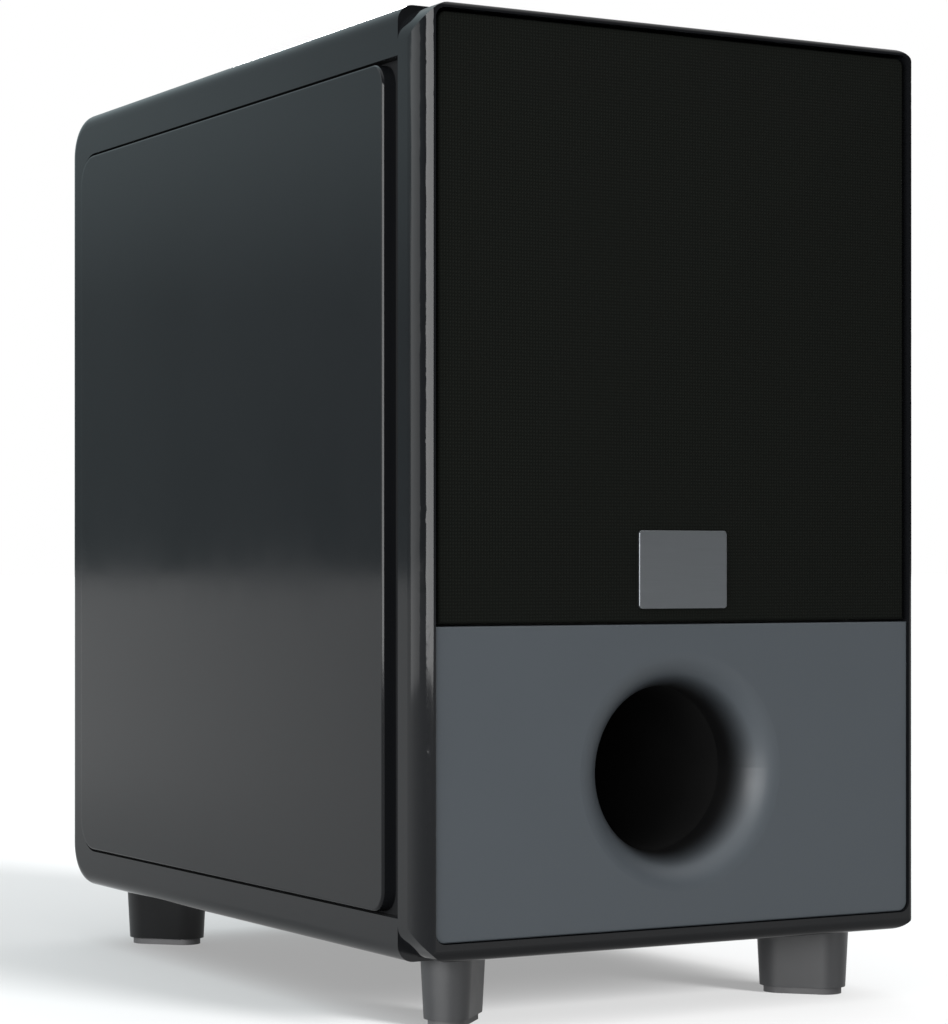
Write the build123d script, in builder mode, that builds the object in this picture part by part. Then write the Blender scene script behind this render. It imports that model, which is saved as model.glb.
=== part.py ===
from build123d import *

import os
from math import asin, cos, degrees, radians, sin, tan

# Powered bass-reflex subwoofer: a lacquered cabinet with a framed front, a cloth
# grille over a 200 mm driver, a flared port below it and a plate amplifier behind.
# Millimetres. +Z is up, the front faces -Y, +X is the viewer's right. The origin is
# on the floor under the middle of the whole outline. Depths run back from the front.

os.makedirs("parts", exist_ok=True)

# ---------------------------------------------------------------- driving dimensions
CABINET_W = 242.0
CABINET_H = 380.0
CABINET_D = 370.0
FOOT_H = 28.0
KNOB_REACH = 14.0

WALL = 15.0
BOARD = 18.0
EDGE_R = 7.0
REAR_R = 20.0

FRAME_D = 22.0
FRAME_SIDE = 5.2
FRAME_TOP = 2.5
FRAME_BOTTOM = 7.5
FRAME_INSET = 1.5
FRAME_R = 13.0
OPENING_R = 4.5

FASCIA_H = 124.7
FACE_DEPTH = 1.2
GRILLE_GAP = 2.2

PANEL_FRONT = 33.0
PANEL_REAR = 354.0
PANEL_TOP_MARGIN = 21.5
PANEL_LOW_MARGIN = 18.5
PANEL_T = 6.0
PANEL_PROUD = 1.0
PANEL_FRONT_R = 9.0
PANEL_REAR_R = 15.0
PANEL_GAP = 1.0

PORT_R = 34.5
PORT_WALL = 2.5
PORT_MOUTH_R = 49.0
FLARE_LENGTH = 19.0
PORT_TUBE_END = 150.0
PORT_Z = 101.0

DRIVER_Z = 283.0
DRIVER_SCREWS = {"radius": 97.5, "count": 8, "start_angle": 22.5}
DRIVER_RIM_R = 104.0

AMP_W = 176.0
AMP_H = 250.0
AMP_PLATE_T = 3.0

# ------------------------------------------------------------------ derived places
OVERALL_D = CABINET_D + KNOB_REACH
FRONT_Y = -OVERALL_D / 2
BOTTOM = FOOT_H
TOP = FOOT_H + CABINET_H
MID_Z = (BOTTOM + TOP) / 2
HALF_W = CABINET_W / 2
CAVITY_W = CABINET_W - 2 * WALL
CAVITY_H = CABINET_H - 2 * WALL

FRAME_LOW = BOTTOM + FRAME_INSET
FRAME_HIGH = TOP - FRAME_INSET
OPENING_W = CABINET_W - 2 * FRAME_SIDE
OPENING_LOW = FRAME_LOW + FRAME_BOTTOM
OPENING_HIGH = FRAME_HIGH - FRAME_TOP
FASCIA_TOP = OPENING_LOW + FASCIA_H

AMP_BACK = CABINET_D
AMP_FACE = CABINET_D - AMP_PLATE_T
GASKET_T = 1.5
BOARD_REAR = AMP_FACE - GASKET_T
CHASSIS_FRONT = 291.0

FOOT_LENGTH = 40.0
FOOT_WIDTH = 21.5
FOOT_SIDE = 34.0
FOOT_FRONT = 38.0
FOOT_REAR = 42.0
PAD_T = 3.0
FOOT_X = HALF_W - FOOT_SIDE
FOOT_PLACES = {
    "foot_front_left": (-FOOT_X, FRONT_Y + FOOT_FRONT, 45),
    "foot_front_right": (FOOT_X, FRONT_Y + FOOT_FRONT, -45),
    "foot_rear_left": (-FOOT_X, FRONT_Y + CABINET_D - FOOT_REAR, -45),
    "foot_rear_right": (FOOT_X, FRONT_Y + CABINET_D - FOOT_REAR, 45),
}
FOOT_CENTRES = [(x, y) for x, y, _ in FOOT_PLACES.values()]
FOOT_SCREW_R = 2.0
FOOT_SCREW_BITE = 12.0


def facing(depth, x=0.0, z=0.0):
    """Plane across the cabinet at a depth, looking forward: extrusions run to the front."""
    return Plane(origin=(x, FRONT_Y + depth, z), x_dir=(1, 0, 0), z_dir=(0, -1, 0))


def section(x, z):
    """Half section about a fore-and-aft axis: local X is the radius, local Y the depth."""
    return Plane(origin=(x, FRONT_Y, z), x_dir=(1, 0, 0), z_dir=(0, 0, 1))


def fore_aft(x, z):
    """Axis that runs back through a point of the front."""
    return Axis((x, FRONT_Y, z), (0, 1, 0))


def turned(outline, x, z):
    """Solid of revolution about a fore-and-aft axis, from (radius, depth) points."""
    with BuildPart() as piece:
        with BuildSketch(section(x, z)):
            with BuildLine():
                Polyline(*outline, close=True)
            make_face()
        revolve(axis=fore_aft(x, z))
    return piece


def tube(inner, outer, front, back):
    """Outline of a plain ring for turned()."""
    return [(inner, front), (outer, front), (outer, back), (inner, back)]


# ---------------------------------------------------------------------- woodwork
PANEL_LOW = BOTTOM + PANEL_LOW_MARGIN
PANEL_HIGH = TOP - PANEL_TOP_MARGIN
PANEL_H = PANEL_HIGH - PANEL_LOW
PANEL_MID = (PANEL_LOW + PANEL_HIGH) / 2
PANEL_EDGE_R = 1.2
POCKET_H = PANEL_H + 2 * PANEL_GAP
POCKET_REAR = PANEL_REAR + PANEL_GAP
CAVITY_R = 3.0

with BuildPart() as cabinet_wrap:
    with BuildSketch(Plane.YZ.offset(-HALF_W)):
        with Locations((FRONT_Y + (FRAME_D + CABINET_D) / 2, MID_Z)):
            Rectangle(CABINET_D - FRAME_D, CABINET_H)
        fillet(vertices().group_by(Axis.X)[-1], REAR_R)
    extrude(amount=CABINET_W)
    side_outlines = cabinet_wrap.edges().group_by(Axis.X)
    left_outline = side_outlines[0].sort_by(Axis.Y)[1:]
    right_outline = side_outlines[-1].sort_by(Axis.Y)[1:]
    fillet(left_outline + right_outline, EDGE_R)
    with BuildSketch(facing(CABINET_D, 0, MID_Z)):
        RectangleRounded(CAVITY_W, CAVITY_H, CAVITY_R)
    extrude(amount=CABINET_D, mode=Mode.SUBTRACT)
    for side in (-1, 1):
        seat = side * (HALF_W + PANEL_PROUD - PANEL_T)
        with BuildSketch(Plane.YZ.offset(seat)):
            with Locations((FRONT_Y + (FRAME_D + POCKET_REAR) / 2, PANEL_MID)):
                Rectangle(POCKET_REAR - FRAME_D, POCKET_H)
            fillet(vertices().group_by(Axis.X)[-1], PANEL_REAR_R + PANEL_GAP)
        extrude(amount=side * PANEL_T, mode=Mode.SUBTRACT)
    with BuildSketch(Plane.XY.offset(BOTTOM)):
        with Locations(*FOOT_CENTRES):
            Circle(FOOT_SCREW_R)
    extrude(amount=FOOT_SCREW_BITE, mode=Mode.SUBTRACT)


def make_side_panel(side):
    """Lacquered panel let into one side of the wrap, standing a little proud."""
    with BuildPart() as panel:
        with BuildSketch(Plane.YZ.offset(side * (HALF_W + PANEL_PROUD - PANEL_T))):
            with Locations((FRONT_Y + (PANEL_FRONT + PANEL_REAR) / 2, PANEL_MID)):
                Rectangle(PANEL_REAR - PANEL_FRONT, PANEL_H)
            fillet(vertices().group_by(Axis.X)[-1], PANEL_REAR_R)
            fillet(vertices().group_by(Axis.X)[0], PANEL_FRONT_R)
        extrude(amount=side * PANEL_T)
        outer = panel.faces().sort_by(Axis.X)[-1 if side > 0 else 0]
        fillet(outer.edges(), PANEL_EDGE_R)
    return panel


side_panel_left = make_side_panel(-1)
side_panel_right = make_side_panel(1)

# The frame's sides swell back in an ellipse; its top edge is fine, its bottom softer.
SWELL = 14.0
TOP_EDGE_R = 2.2
LOW_EDGE_R = 5.0
SWELL_X = HALF_W - FRAME_SIDE
SWELL_Y = FRONT_Y + SWELL
with BuildPart() as front_frame:
    with BuildSketch(facing(FRAME_D, 0, (FRAME_LOW + FRAME_HIGH) / 2)):
        RectangleRounded(CABINET_W, FRAME_HIGH - FRAME_LOW, FRAME_R)
    extrude(amount=FRAME_D)
    with BuildSketch(Plane.XY.offset(FRAME_LOW)):
        with BuildLine():
            left = EllipticalCenterArc((-SWELL_X, SWELL_Y), FRAME_SIDE, SWELL, 180, arc_size=90)
            right = EllipticalCenterArc((SWELL_X, SWELL_Y), FRAME_SIDE, SWELL, 270, arc_size=90)
            Line(left @ 1, right @ 0)
            Polyline(right @ 1, (HALF_W, FRONT_Y + FRAME_D), (-HALF_W, FRONT_Y + FRAME_D), left @ 0)
        make_face()
    extrude(amount=FRAME_HIGH - FRAME_LOW, mode=Mode.INTERSECT)
    with BuildSketch(Plane.YZ.offset(-HALF_W)):
        with Locations((FRONT_Y + FRAME_D / 2, (FRAME_LOW + FRAME_HIGH) / 2)):
            Rectangle(FRAME_D, FRAME_HIGH - FRAME_LOW)
        fillet(vertices().group_by(Axis.X)[0].sort_by(Axis.Y)[-1], TOP_EDGE_R)
        fillet(vertices().group_by(Axis.X)[0].sort_by(Axis.Y)[0], LOW_EDGE_R)
    extrude(amount=CABINET_W, mode=Mode.INTERSECT)
    with BuildSketch(facing(FRAME_D, 0, (OPENING_LOW + OPENING_HIGH) / 2)):
        RectangleRounded(OPENING_W, OPENING_HIGH - OPENING_LOW, OPENING_R)
    extrude(amount=FRAME_D, mode=Mode.SUBTRACT)

BAFFLE_FRONT = FRAME_D
BAFFLE_BACK = FRAME_D + BOARD
REBATE_D = 3.0
REBATE_R = DRIVER_RIM_R + 0.5
CUTOUT_R = 93.2
TUBE_FIT = 0.2
SCREW_BORE_R = 2.0
PEG_X = 95.0
PEG_Z = 100.0
SOCKET_R = 6.5
SOCKET_D = 12.0
with BuildPart() as baffle_board:
    with BuildSketch(facing(BAFFLE_BACK, 0, MID_Z)):
        RectangleRounded(CAVITY_W, CAVITY_H, CAVITY_R)
    extrude(amount=BOARD)
    with BuildSketch(facing(BAFFLE_BACK, 0, 0)):
        with Locations((0, DRIVER_Z)):
            Circle(CUTOUT_R)
        with Locations((0, PORT_Z)):
            Circle(PORT_R + PORT_WALL + TUBE_FIT)
        with Locations((0, DRIVER_Z)):
            with PolarLocations(**DRIVER_SCREWS):
                Circle(SCREW_BORE_R)
    extrude(amount=BOARD, mode=Mode.SUBTRACT)
    with BuildSketch(facing(BAFFLE_FRONT + REBATE_D, 0, DRIVER_Z)):
        Circle(REBATE_R)
    extrude(amount=REBATE_D, mode=Mode.SUBTRACT)
    with BuildSketch(facing(BAFFLE_FRONT + SOCKET_D, 0, DRIVER_Z)):
        with GridLocations(2 * PEG_X, 2 * PEG_Z, 2, 2):
            Circle(SOCKET_R)
    extrude(amount=SOCKET_D, mode=Mode.SUBTRACT)

AMP_OPENING_W = 150.0
AMP_OPENING_H = 226.0
AMP_SCREW_R = 1.6
AMP_SCREW_BITE = 12.0
AMP_SCREW_X = 81.5
AMP_SCREW_Z = (40.0, 119.0)
AMP_SCREWS = [(x, z * up) for x in (-AMP_SCREW_X, AMP_SCREW_X) for z in AMP_SCREW_Z for up in (-1, 1)]
AMP_SCREWS += [(0, AMP_SCREW_Z[1] * up) for up in (-1, 1)]
with BuildPart() as rear_board:
    with BuildSketch(facing(BOARD_REAR, 0, MID_Z)):
        RectangleRounded(CAVITY_W, CAVITY_H, CAVITY_R)
        Rectangle(AMP_OPENING_W, AMP_OPENING_H, mode=Mode.SUBTRACT)
    extrude(amount=BOARD)
    with BuildSketch(facing(BOARD_REAR, 0, MID_Z)):
        with Locations(*AMP_SCREWS):
            Circle(AMP_SCREW_R)
    extrude(amount=AMP_SCREW_BITE, mode=Mode.SUBTRACT)

BRACE_FRONT = 196.0
BRACE_T = 12.0
WINDOW_W = 160.0
WINDOW_H = 130.0
WINDOW_RISE = 83.0
WINDOW_R = 18.0
with BuildPart() as brace:
    with BuildSketch(facing(BRACE_FRONT + BRACE_T, 0, MID_Z)):
        RectangleRounded(CAVITY_W, CAVITY_H, CAVITY_R)
        with Locations((0, WINDOW_RISE), (0, -WINDOW_RISE)):
            RectangleRounded(WINDOW_W, WINDOW_H, WINDOW_R, mode=Mode.SUBTRACT)
    extrude(amount=BRACE_T)

WADDING_T = 20.0
WADDING_BACK = 282.0
WADDING_L = 70.0
WADDING_SLACK = 1.0
with BuildPart() as wadding:
    with BuildSketch(facing(WADDING_BACK, 0, MID_Z)):
        RectangleRounded(CAVITY_W - WADDING_SLACK, CAVITY_H - WADDING_SLACK, CAVITY_R)
        with Locations((0, -WADDING_T)):
            Rectangle(CAVITY_W - 2 * WADDING_T, CAVITY_H, mode=Mode.SUBTRACT)
    extrude(amount=WADDING_L)

# ------------------------------------------------------------------ fascia and port
FASCIA_T = 3.0
FASCIA_GAP = 0.25
FASCIA_EDGE_R = 0.8
FLARE_END = FACE_DEPTH + FLARE_LENGTH
TUBE_START = 26.0
FLARE_DROP = PORT_MOUTH_R - PORT_R
with BuildPart() as lower_fascia:
    with BuildSketch(facing(FRAME_D, 0, (OPENING_LOW + FASCIA_TOP) / 2)):
        Rectangle(OPENING_W - 2 * FASCIA_GAP, FASCIA_H - 2 * FASCIA_GAP)
        fillet(vertices().group_by(Axis.Y)[0], OPENING_R - FASCIA_GAP)
    extrude(amount=FRAME_D - FACE_DEPTH)
    fillet(lower_fascia.faces().sort_by(Axis.Y)[0].edges(), FASCIA_EDGE_R)
    with BuildSketch(facing(FRAME_D, 0, (OPENING_LOW + FASCIA_TOP) / 2)):
        Rectangle(OPENING_W - 2 * FASCIA_T, FASCIA_H - 2 * FASCIA_T)
        fillet(vertices().group_by(Axis.Y)[0], OPENING_R - FASCIA_T)
    extrude(amount=FRAME_D - FACE_DEPTH - FASCIA_T, mode=Mode.SUBTRACT)
    with BuildSketch(facing(FRAME_D, 0, PORT_Z)):
        Circle(PORT_MOUTH_R)
    extrude(amount=FRAME_D, mode=Mode.SUBTRACT)
    with BuildSketch(section(0, PORT_Z)):
        with BuildLine():
            mouth = EllipticalCenterArc((PORT_MOUTH_R, FLARE_END), FLARE_DROP, FLARE_LENGTH, 180, arc_size=90)
            back = EllipticalCenterArc(
                (PORT_MOUTH_R, FLARE_END), FLARE_DROP - PORT_WALL, FLARE_LENGTH - PORT_WALL, 180, arc_size=90
            )
            Line(mouth @ 1, back @ 1)
            Polyline(
                mouth @ 0,
                (PORT_R, TUBE_START),
                (PORT_R + PORT_WALL, TUBE_START),
                back @ 0,
            )
        make_face()
    revolve(axis=fore_aft(0, PORT_Z))

with BuildPart() as port_tube:
    with BuildSketch(section(0, PORT_Z)):
        with BuildLine():
            inner = EllipticalCenterArc(
                (PORT_MOUTH_R, PORT_TUBE_END), FLARE_DROP, FLARE_LENGTH, 90, arc_size=90
            )
            outer = EllipticalCenterArc(
                (PORT_MOUTH_R, PORT_TUBE_END),
                FLARE_DROP - PORT_WALL,
                FLARE_LENGTH - PORT_WALL,
                90,
                arc_size=90,
            )
            Line(inner @ 0, outer @ 0)
            Polyline(
                inner @ 1,
                (PORT_R, TUBE_START),
                (PORT_R + PORT_WALL, TUBE_START),
                outer @ 1,
            )
        make_face()
    revolve(axis=fore_aft(0, PORT_Z))

# -------------------------------------------------------------------------- grille
CLOTH_T = 0.8
GRILLE_W = OPENING_W - 2 * GRILLE_GAP
GRILLE_LOW_GAP = 0.8
GRILLE_TOP_GAP = 1.2
GRILLE_LOW = FASCIA_TOP + GRILLE_LOW_GAP
GRILLE_HIGH = OPENING_HIGH - GRILLE_TOP_GAP
GRILLE_H = GRILLE_HIGH - GRILLE_LOW
GRILLE_MID = (GRILLE_LOW + GRILLE_HIGH) / 2
GRILLE_BACK = 9.5
GRILLE_HOLE_R = 102.0
GRILLE_R = 3.5
PEG_R = 3.0
PEG_SHOULDER_R = 5.0
PEG_FIT = 0.05
PEG_CLEARANCE = 1.0
PEG_EDGE_R = 1.2
PEG_SHOULDER = 21.5
PEG_TIP = 31.0
with BuildPart() as grille_frame:
    with BuildSketch(facing(GRILLE_BACK, 0, GRILLE_MID)):
        Rectangle(GRILLE_W - 2 * CLOTH_T, GRILLE_H - 2 * CLOTH_T)
        fillet(vertices().group_by(Axis.Y)[-1], GRILLE_R - CLOTH_T)
    extrude(amount=GRILLE_BACK - FACE_DEPTH - CLOTH_T)
    with BuildSketch(facing(GRILLE_BACK, 0, DRIVER_Z)):
        Circle(GRILLE_HOLE_R)
    extrude(amount=GRILLE_BACK, mode=Mode.SUBTRACT)
    with BuildSketch(facing(PEG_SHOULDER, 0, DRIVER_Z)):
        with GridLocations(2 * PEG_X, 2 * PEG_Z, 2, 2):
            Circle(PEG_SHOULDER_R)
    extrude(amount=PEG_SHOULDER - GRILLE_BACK)
    with BuildSketch(facing(PEG_TIP, 0, DRIVER_Z)):
        with GridLocations(2 * PEG_X, 2 * PEG_Z, 2, 2):
            Circle(PEG_R)
    extrude(amount=PEG_TIP - PEG_SHOULDER)
    fillet(grille_frame.faces().sort_by(Axis.Y)[-4:].edges(), PEG_EDGE_R)

with BuildPart() as grille_cloth:
    with BuildSketch(facing(GRILLE_BACK, 0, GRILLE_MID)):
        Rectangle(GRILLE_W, GRILLE_H)
        fillet(vertices().group_by(Axis.Y)[-1], GRILLE_R)
    extrude(amount=GRILLE_BACK - FACE_DEPTH)
    with BuildSketch(facing(GRILLE_BACK, 0, GRILLE_MID)):
        Rectangle(GRILLE_W - 2 * CLOTH_T, GRILLE_H - 2 * CLOTH_T)
        fillet(vertices().group_by(Axis.Y)[-1], GRILLE_R - CLOTH_T)
    extrude(amount=GRILLE_BACK - FACE_DEPTH - CLOTH_T, mode=Mode.SUBTRACT)

with BuildPart() as grille_sockets:
    with BuildSketch(facing(BAFFLE_FRONT + SOCKET_D, 0, DRIVER_Z)):
        with GridLocations(2 * PEG_X, 2 * PEG_Z, 2, 2):
            Circle(SOCKET_R)
    extrude(amount=SOCKET_D)
    with BuildSketch(facing(PEG_TIP + PEG_CLEARANCE, 0, DRIVER_Z)):
        with GridLocations(2 * PEG_X, 2 * PEG_Z, 2, 2):
            Circle(PEG_R + PEG_FIT)
    extrude(amount=PEG_TIP + PEG_CLEARANCE - BAFFLE_FRONT, mode=Mode.SUBTRACT)

BADGE_W = 43.0
BADGE_H = 32.0
BADGE_Z = 183.8
BADGE_R = 1.5
BADGE_EDGE_R = 0.4
with BuildPart() as badge_plate:
    with BuildSketch(facing(FACE_DEPTH, 0, BADGE_Z)):
        RectangleRounded(BADGE_W, BADGE_H, BADGE_R)
    extrude(amount=FACE_DEPTH)
    fillet(badge_plate.faces().sort_by(Axis.Y)[0].edges(), BADGE_EDGE_R)

# -------------------------------------------------------------------------- driver
FLANGE_FRONT = 23.0
FLANGE_BACK = 25.0
BASKET = [
    (DRIVER_RIM_R, FLANGE_FRONT), (DRIVER_RIM_R, FLANGE_BACK), (92, FLANGE_BACK), (71, 67), (71, 69),
    (61, 69), (58, 88.5), (28.5, 88.5), (28.5, 86.5), (56, 86.5), (58.5, 67), (69, 67), (89.8, 25.4),
    (88.5, FLANGE_BACK), (88.5, FLANGE_FRONT),
]
# Each ring of basket windows: inner and outer radius, back depth, length, spoke width.
BASKET_SPOKES = 6
BASKET_WINDOWS = [(74.0, 87.5, 64.0, 36.0, 18.0), (54.0, 63.0, 84.0, 12.0, 14.0)]
FLANGE_BORE_R = 2.4
with BuildPart() as driver_basket:
    with BuildSketch(section(0, DRIVER_Z)):
        with BuildLine():
            Polyline(*BASKET, close=True)
        make_face()
    revolve(axis=fore_aft(0, DRIVER_Z))
    for window_in, window_out, window_back, window_l, spoke_w in BASKET_WINDOWS:
        with BuildSketch(facing(window_back, 0, DRIVER_Z)):
            Circle(window_out)
            Circle(window_in, mode=Mode.SUBTRACT)
            with PolarLocations((window_in + window_out) / 2, BASKET_SPOKES):
                Rectangle(2 * (window_out - window_in), spoke_w, mode=Mode.SUBTRACT)
        extrude(amount=window_l, mode=Mode.SUBTRACT)
    with BuildSketch(facing(FLANGE_BACK, 0, DRIVER_Z)):
        with PolarLocations(**DRIVER_SCREWS):
            Circle(FLANGE_BORE_R)
    extrude(amount=FLANGE_BACK - FLANGE_FRONT, mode=Mode.SUBTRACT)


TRIM_FRONT = 19.3
TRIM_BACK = 22.0
HEAD_CLEARANCE_R = 4.4
TRIM_OUTLINE = [
    (92.5, TRIM_BACK), (92.5, 20), (93.5, TRIM_FRONT), (102.5, TRIM_FRONT), (103.5, 20), (103.5, TRIM_BACK),
]
with BuildPart() as trim_ring:
    with BuildSketch(section(0, DRIVER_Z)):
        with BuildLine():
            Polyline(*TRIM_OUTLINE, close=True)
        make_face()
    revolve(axis=fore_aft(0, DRIVER_Z))
    with BuildSketch(facing(TRIM_BACK, 0, DRIVER_Z)):
        with PolarLocations(**DRIVER_SCREWS):
            Circle(HEAD_CLEARANCE_R)
    extrude(amount=TRIM_BACK - TRIM_FRONT, mode=Mode.SUBTRACT)

ROLL_R = 7.0
ROLL_MID = 85.0
LIP_FRONT = 22.0
LIP_BACK = FLANGE_FRONT
LIP_INNER_R = 73.5
LIP_OUTER_R = 101.0
ROLL_BACK_R = 6.0
ROLL_BACK_APEX = 16.2
with BuildPart() as driver_surround:
    with BuildSketch(section(0, DRIVER_Z)):
        with BuildLine():
            Polyline(
                (ROLL_MID + ROLL_R, LIP_FRONT),
                (LIP_OUTER_R, LIP_FRONT),
                (LIP_OUTER_R, LIP_BACK),
                (ROLL_MID + ROLL_BACK_R, LIP_BACK),
            )
            ThreePointArc(
                (ROLL_MID + ROLL_BACK_R, LIP_BACK),
                (ROLL_MID, ROLL_BACK_APEX),
                (ROLL_MID - ROLL_BACK_R, LIP_BACK),
            )
            Polyline(
                (ROLL_MID - ROLL_BACK_R, LIP_BACK),
                (LIP_INNER_R, LIP_BACK),
                (LIP_INNER_R, LIP_FRONT),
                (ROLL_MID - ROLL_R, LIP_FRONT),
            )
            ThreePointArc(
                (ROLL_MID - ROLL_R, LIP_FRONT),
                (ROLL_MID, LIP_FRONT - ROLL_R),
                (ROLL_MID + ROLL_R, LIP_FRONT),
            )
        make_face()
    revolve(axis=fore_aft(0, DRIVER_Z))
    with BuildSketch(facing(LIP_BACK, 0, DRIVER_Z)):
        with PolarLocations(**DRIVER_SCREWS):
            Circle(HEAD_CLEARANCE_R)
    extrude(amount=LIP_BACK - LIP_FRONT, mode=Mode.SUBTRACT)

CONE_OUTLINE = [
    (LIP_INNER_R, LIP_BACK), (78.5, LIP_BACK), (78.5, 24), (74.6, 24.4),
    (27, 59.4), (27, 62), (25.6, 62), (25.6, 58.2),
]
driver_cone = turned(CONE_OUTLINE, 0, DRIVER_Z)

CAP_R = 30.0
CAP_FRONT = 43.0
CAP_RISE = 11.6
CAP_T = 0.9
CAP_SPHERE = (CAP_R**2 + CAP_RISE**2) / (2 * CAP_RISE)
CAP_ANGLE = degrees(asin(CAP_R / CAP_SPHERE))
with BuildPart() as dust_cap:
    with BuildSketch(section(0, DRIVER_Z)):
        with BuildLine():
            cap_front = CenterArc((0, CAP_FRONT + CAP_SPHERE), CAP_SPHERE, -90, CAP_ANGLE)
            cap_back = CenterArc((0, CAP_FRONT + CAP_SPHERE), CAP_SPHERE - CAP_T, -90, CAP_ANGLE)
            Line(cap_front @ 0, cap_back @ 0)
            Line(cap_front @ 1, cap_back @ 1)
        make_face()
    revolve(axis=fore_aft(0, DRIVER_Z))

FORMER_R = 25.0
FORMER_OUT = FORMER_R + 0.6
WINDING_OUT = FORMER_R + 1.8
FORMER_FRONT = 56.5
WINDING_FRONT = 80.5
COIL_BACK = 104.5
coil_former = turned(tube(FORMER_R, FORMER_OUT, FORMER_FRONT, COIL_BACK), 0, DRIVER_Z)
coil_winding = turned(tube(FORMER_OUT, WINDING_OUT, WINDING_FRONT, COIL_BACK), 0, DRIVER_Z)

# The spider is pleated: its depth steps to and fro between the former and the shelf.
PLEATS = 12
PLEAT_INNER_R = 27.0
PLEAT_STEP = (60.0 - PLEAT_INNER_R) / PLEATS
PLEAT_MID = 65.0
PLEAT_RISE = 1.2
SPIDER_T = 0.8
pleat_front = [
    (PLEAT_INNER_R + i * PLEAT_STEP, PLEAT_MID + (PLEAT_RISE if i % 2 else -PLEAT_RISE))
    for i in range(PLEATS + 1)
]
pleat_back = [(r, depth + SPIDER_T) for r, depth in reversed(pleat_front)]
SPIDER = (
    [(25.65, 63.2), (26.6, 63.2)]
    + pleat_front
    + [(61.5, 66.2), (68.5, 66.2), (68.5, 67), (61.2, 67)]
    + pleat_back
    + [(26.6, 66.6), (25.65, 66.6)]
)
driver_spider = turned(SPIDER, 0, DRIVER_Z)

PLATE_FRONT = 88.5
PLATE_BACK = 96.5
MAGNET_BACK = 118.5
YOKE_BACK = 126.0
POLE_R = 24.2
VENT_R = 6.0
TOP_PLATE_R = (27.8, 54.0)
MAGNET_R = (32.0, 62.0)
YOKE_R = 56.0
YOKE_BEVEL = 1.5
YOKE_OUTLINE = [
    (VENT_R, PLATE_FRONT), (POLE_R, PLATE_FRONT), (POLE_R, MAGNET_BACK), (YOKE_R, MAGNET_BACK),
    (YOKE_R, YOKE_BACK - YOKE_BEVEL), (YOKE_R - YOKE_BEVEL, YOKE_BACK), (VENT_R, YOKE_BACK),
]
magnet_top_plate = turned(tube(*TOP_PLATE_R, PLATE_FRONT, PLATE_BACK), 0, DRIVER_Z)
driver_magnet = turned(tube(*MAGNET_R, PLATE_BACK, MAGNET_BACK), 0, DRIVER_Z)
magnet_yoke = turned(YOKE_OUTLINE, 0, DRIVER_Z)

TERMINAL_X = 66.8
TERMINAL_BACK = 79.0
TAB_BACK = 87.0
TERMINAL_FRONT = 69.0
TERMINAL_SIZE = (7.4, 20.0)
TAB_SIZE = (0.8, 6.3)
TAB_PITCH = 10.0
with BuildPart() as driver_terminals:
    with BuildSketch(facing(TERMINAL_BACK, TERMINAL_X, DRIVER_Z)):
        Rectangle(*TERMINAL_SIZE)
    extrude(amount=TERMINAL_BACK - TERMINAL_FRONT)
    with BuildSketch(facing(TAB_BACK, TERMINAL_X, DRIVER_Z)):
        with GridLocations(0, TAB_PITCH, 1, 2):
            Rectangle(*TAB_SIZE)
    extrude(amount=TAB_BACK - TERMINAL_BACK)

HEAD_R = 3.8
HEAD_H = 3.0
HEAD_EDGE_R = 0.8
SCREW_END = BAFFLE_BACK - 3
with BuildPart() as driver_screws:
    with BuildSketch(facing(FLANGE_FRONT, 0, DRIVER_Z)):
        with PolarLocations(**DRIVER_SCREWS):
            Circle(HEAD_R)
    extrude(amount=HEAD_H)
    fillet(driver_screws.faces().sort_by(Axis.Y)[:DRIVER_SCREWS["count"]].edges(), HEAD_EDGE_R)
    with BuildSketch(facing(SCREW_END, 0, DRIVER_Z)):
        with PolarLocations(**DRIVER_SCREWS):
            Circle(SCREW_BORE_R)
    extrude(amount=SCREW_END - FLANGE_FRONT)

# ---------------------------------------------------------------------------- feet
FOOT_TAPER = 3.0
COUNTERBORE_R = 5.5
COUNTERBORE_D = 14.0
FOOT_BORE_R = 2.5
PAD_MARGIN = 3.0
FOOT_HEAD_R = 4.2
FOOT_HEAD_H = 3.5


def make_foot(x, y, turn):
    """Tapered foot, long across its corner, counterbored from below for its screw."""
    with BuildPart() as foot:
        with BuildSketch(Plane(origin=(x, y, BOTTOM), x_dir=(1, 0, 0), z_dir=(0, 0, -1))):
            SlotOverall(FOOT_LENGTH, FOOT_WIDTH, rotation=-turn)
        extrude(amount=FOOT_H - PAD_T, taper=FOOT_TAPER)
        with BuildSketch(Plane.XY.offset(PAD_T)):
            with Locations((x, y)):
                Circle(COUNTERBORE_R)
        extrude(amount=COUNTERBORE_D, mode=Mode.SUBTRACT)
        with BuildSketch(Plane.XY.offset(PAD_T)):
            with Locations((x, y)):
                Circle(FOOT_BORE_R)
        extrude(amount=FOOT_H - PAD_T, mode=Mode.SUBTRACT)
    return foot


feet = {name: make_foot(*place) for name, place in FOOT_PLACES.items()}

with BuildPart() as foot_pads:
    with BuildSketch(Plane.XY):
        for x, y, turn in FOOT_PLACES.values():
            with Locations((x, y)):
                SlotOverall(FOOT_LENGTH - 2 * PAD_MARGIN, FOOT_WIDTH - 2 * PAD_MARGIN, rotation=turn)
    extrude(amount=PAD_T)

SCREW_SEAT = PAD_T + COUNTERBORE_D
with BuildPart() as foot_screws:
    with BuildSketch(Plane.XY.offset(SCREW_SEAT - FOOT_HEAD_H)):
        with Locations(*FOOT_CENTRES):
            Circle(FOOT_HEAD_R)
    extrude(amount=FOOT_HEAD_H)
    with BuildSketch(Plane.XY.offset(SCREW_SEAT)):
        with Locations(*FOOT_CENTRES):
            Circle(FOOT_SCREW_R)
    extrude(amount=BOTTOM + FOOT_SCREW_BITE - SCREW_SEAT)

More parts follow.
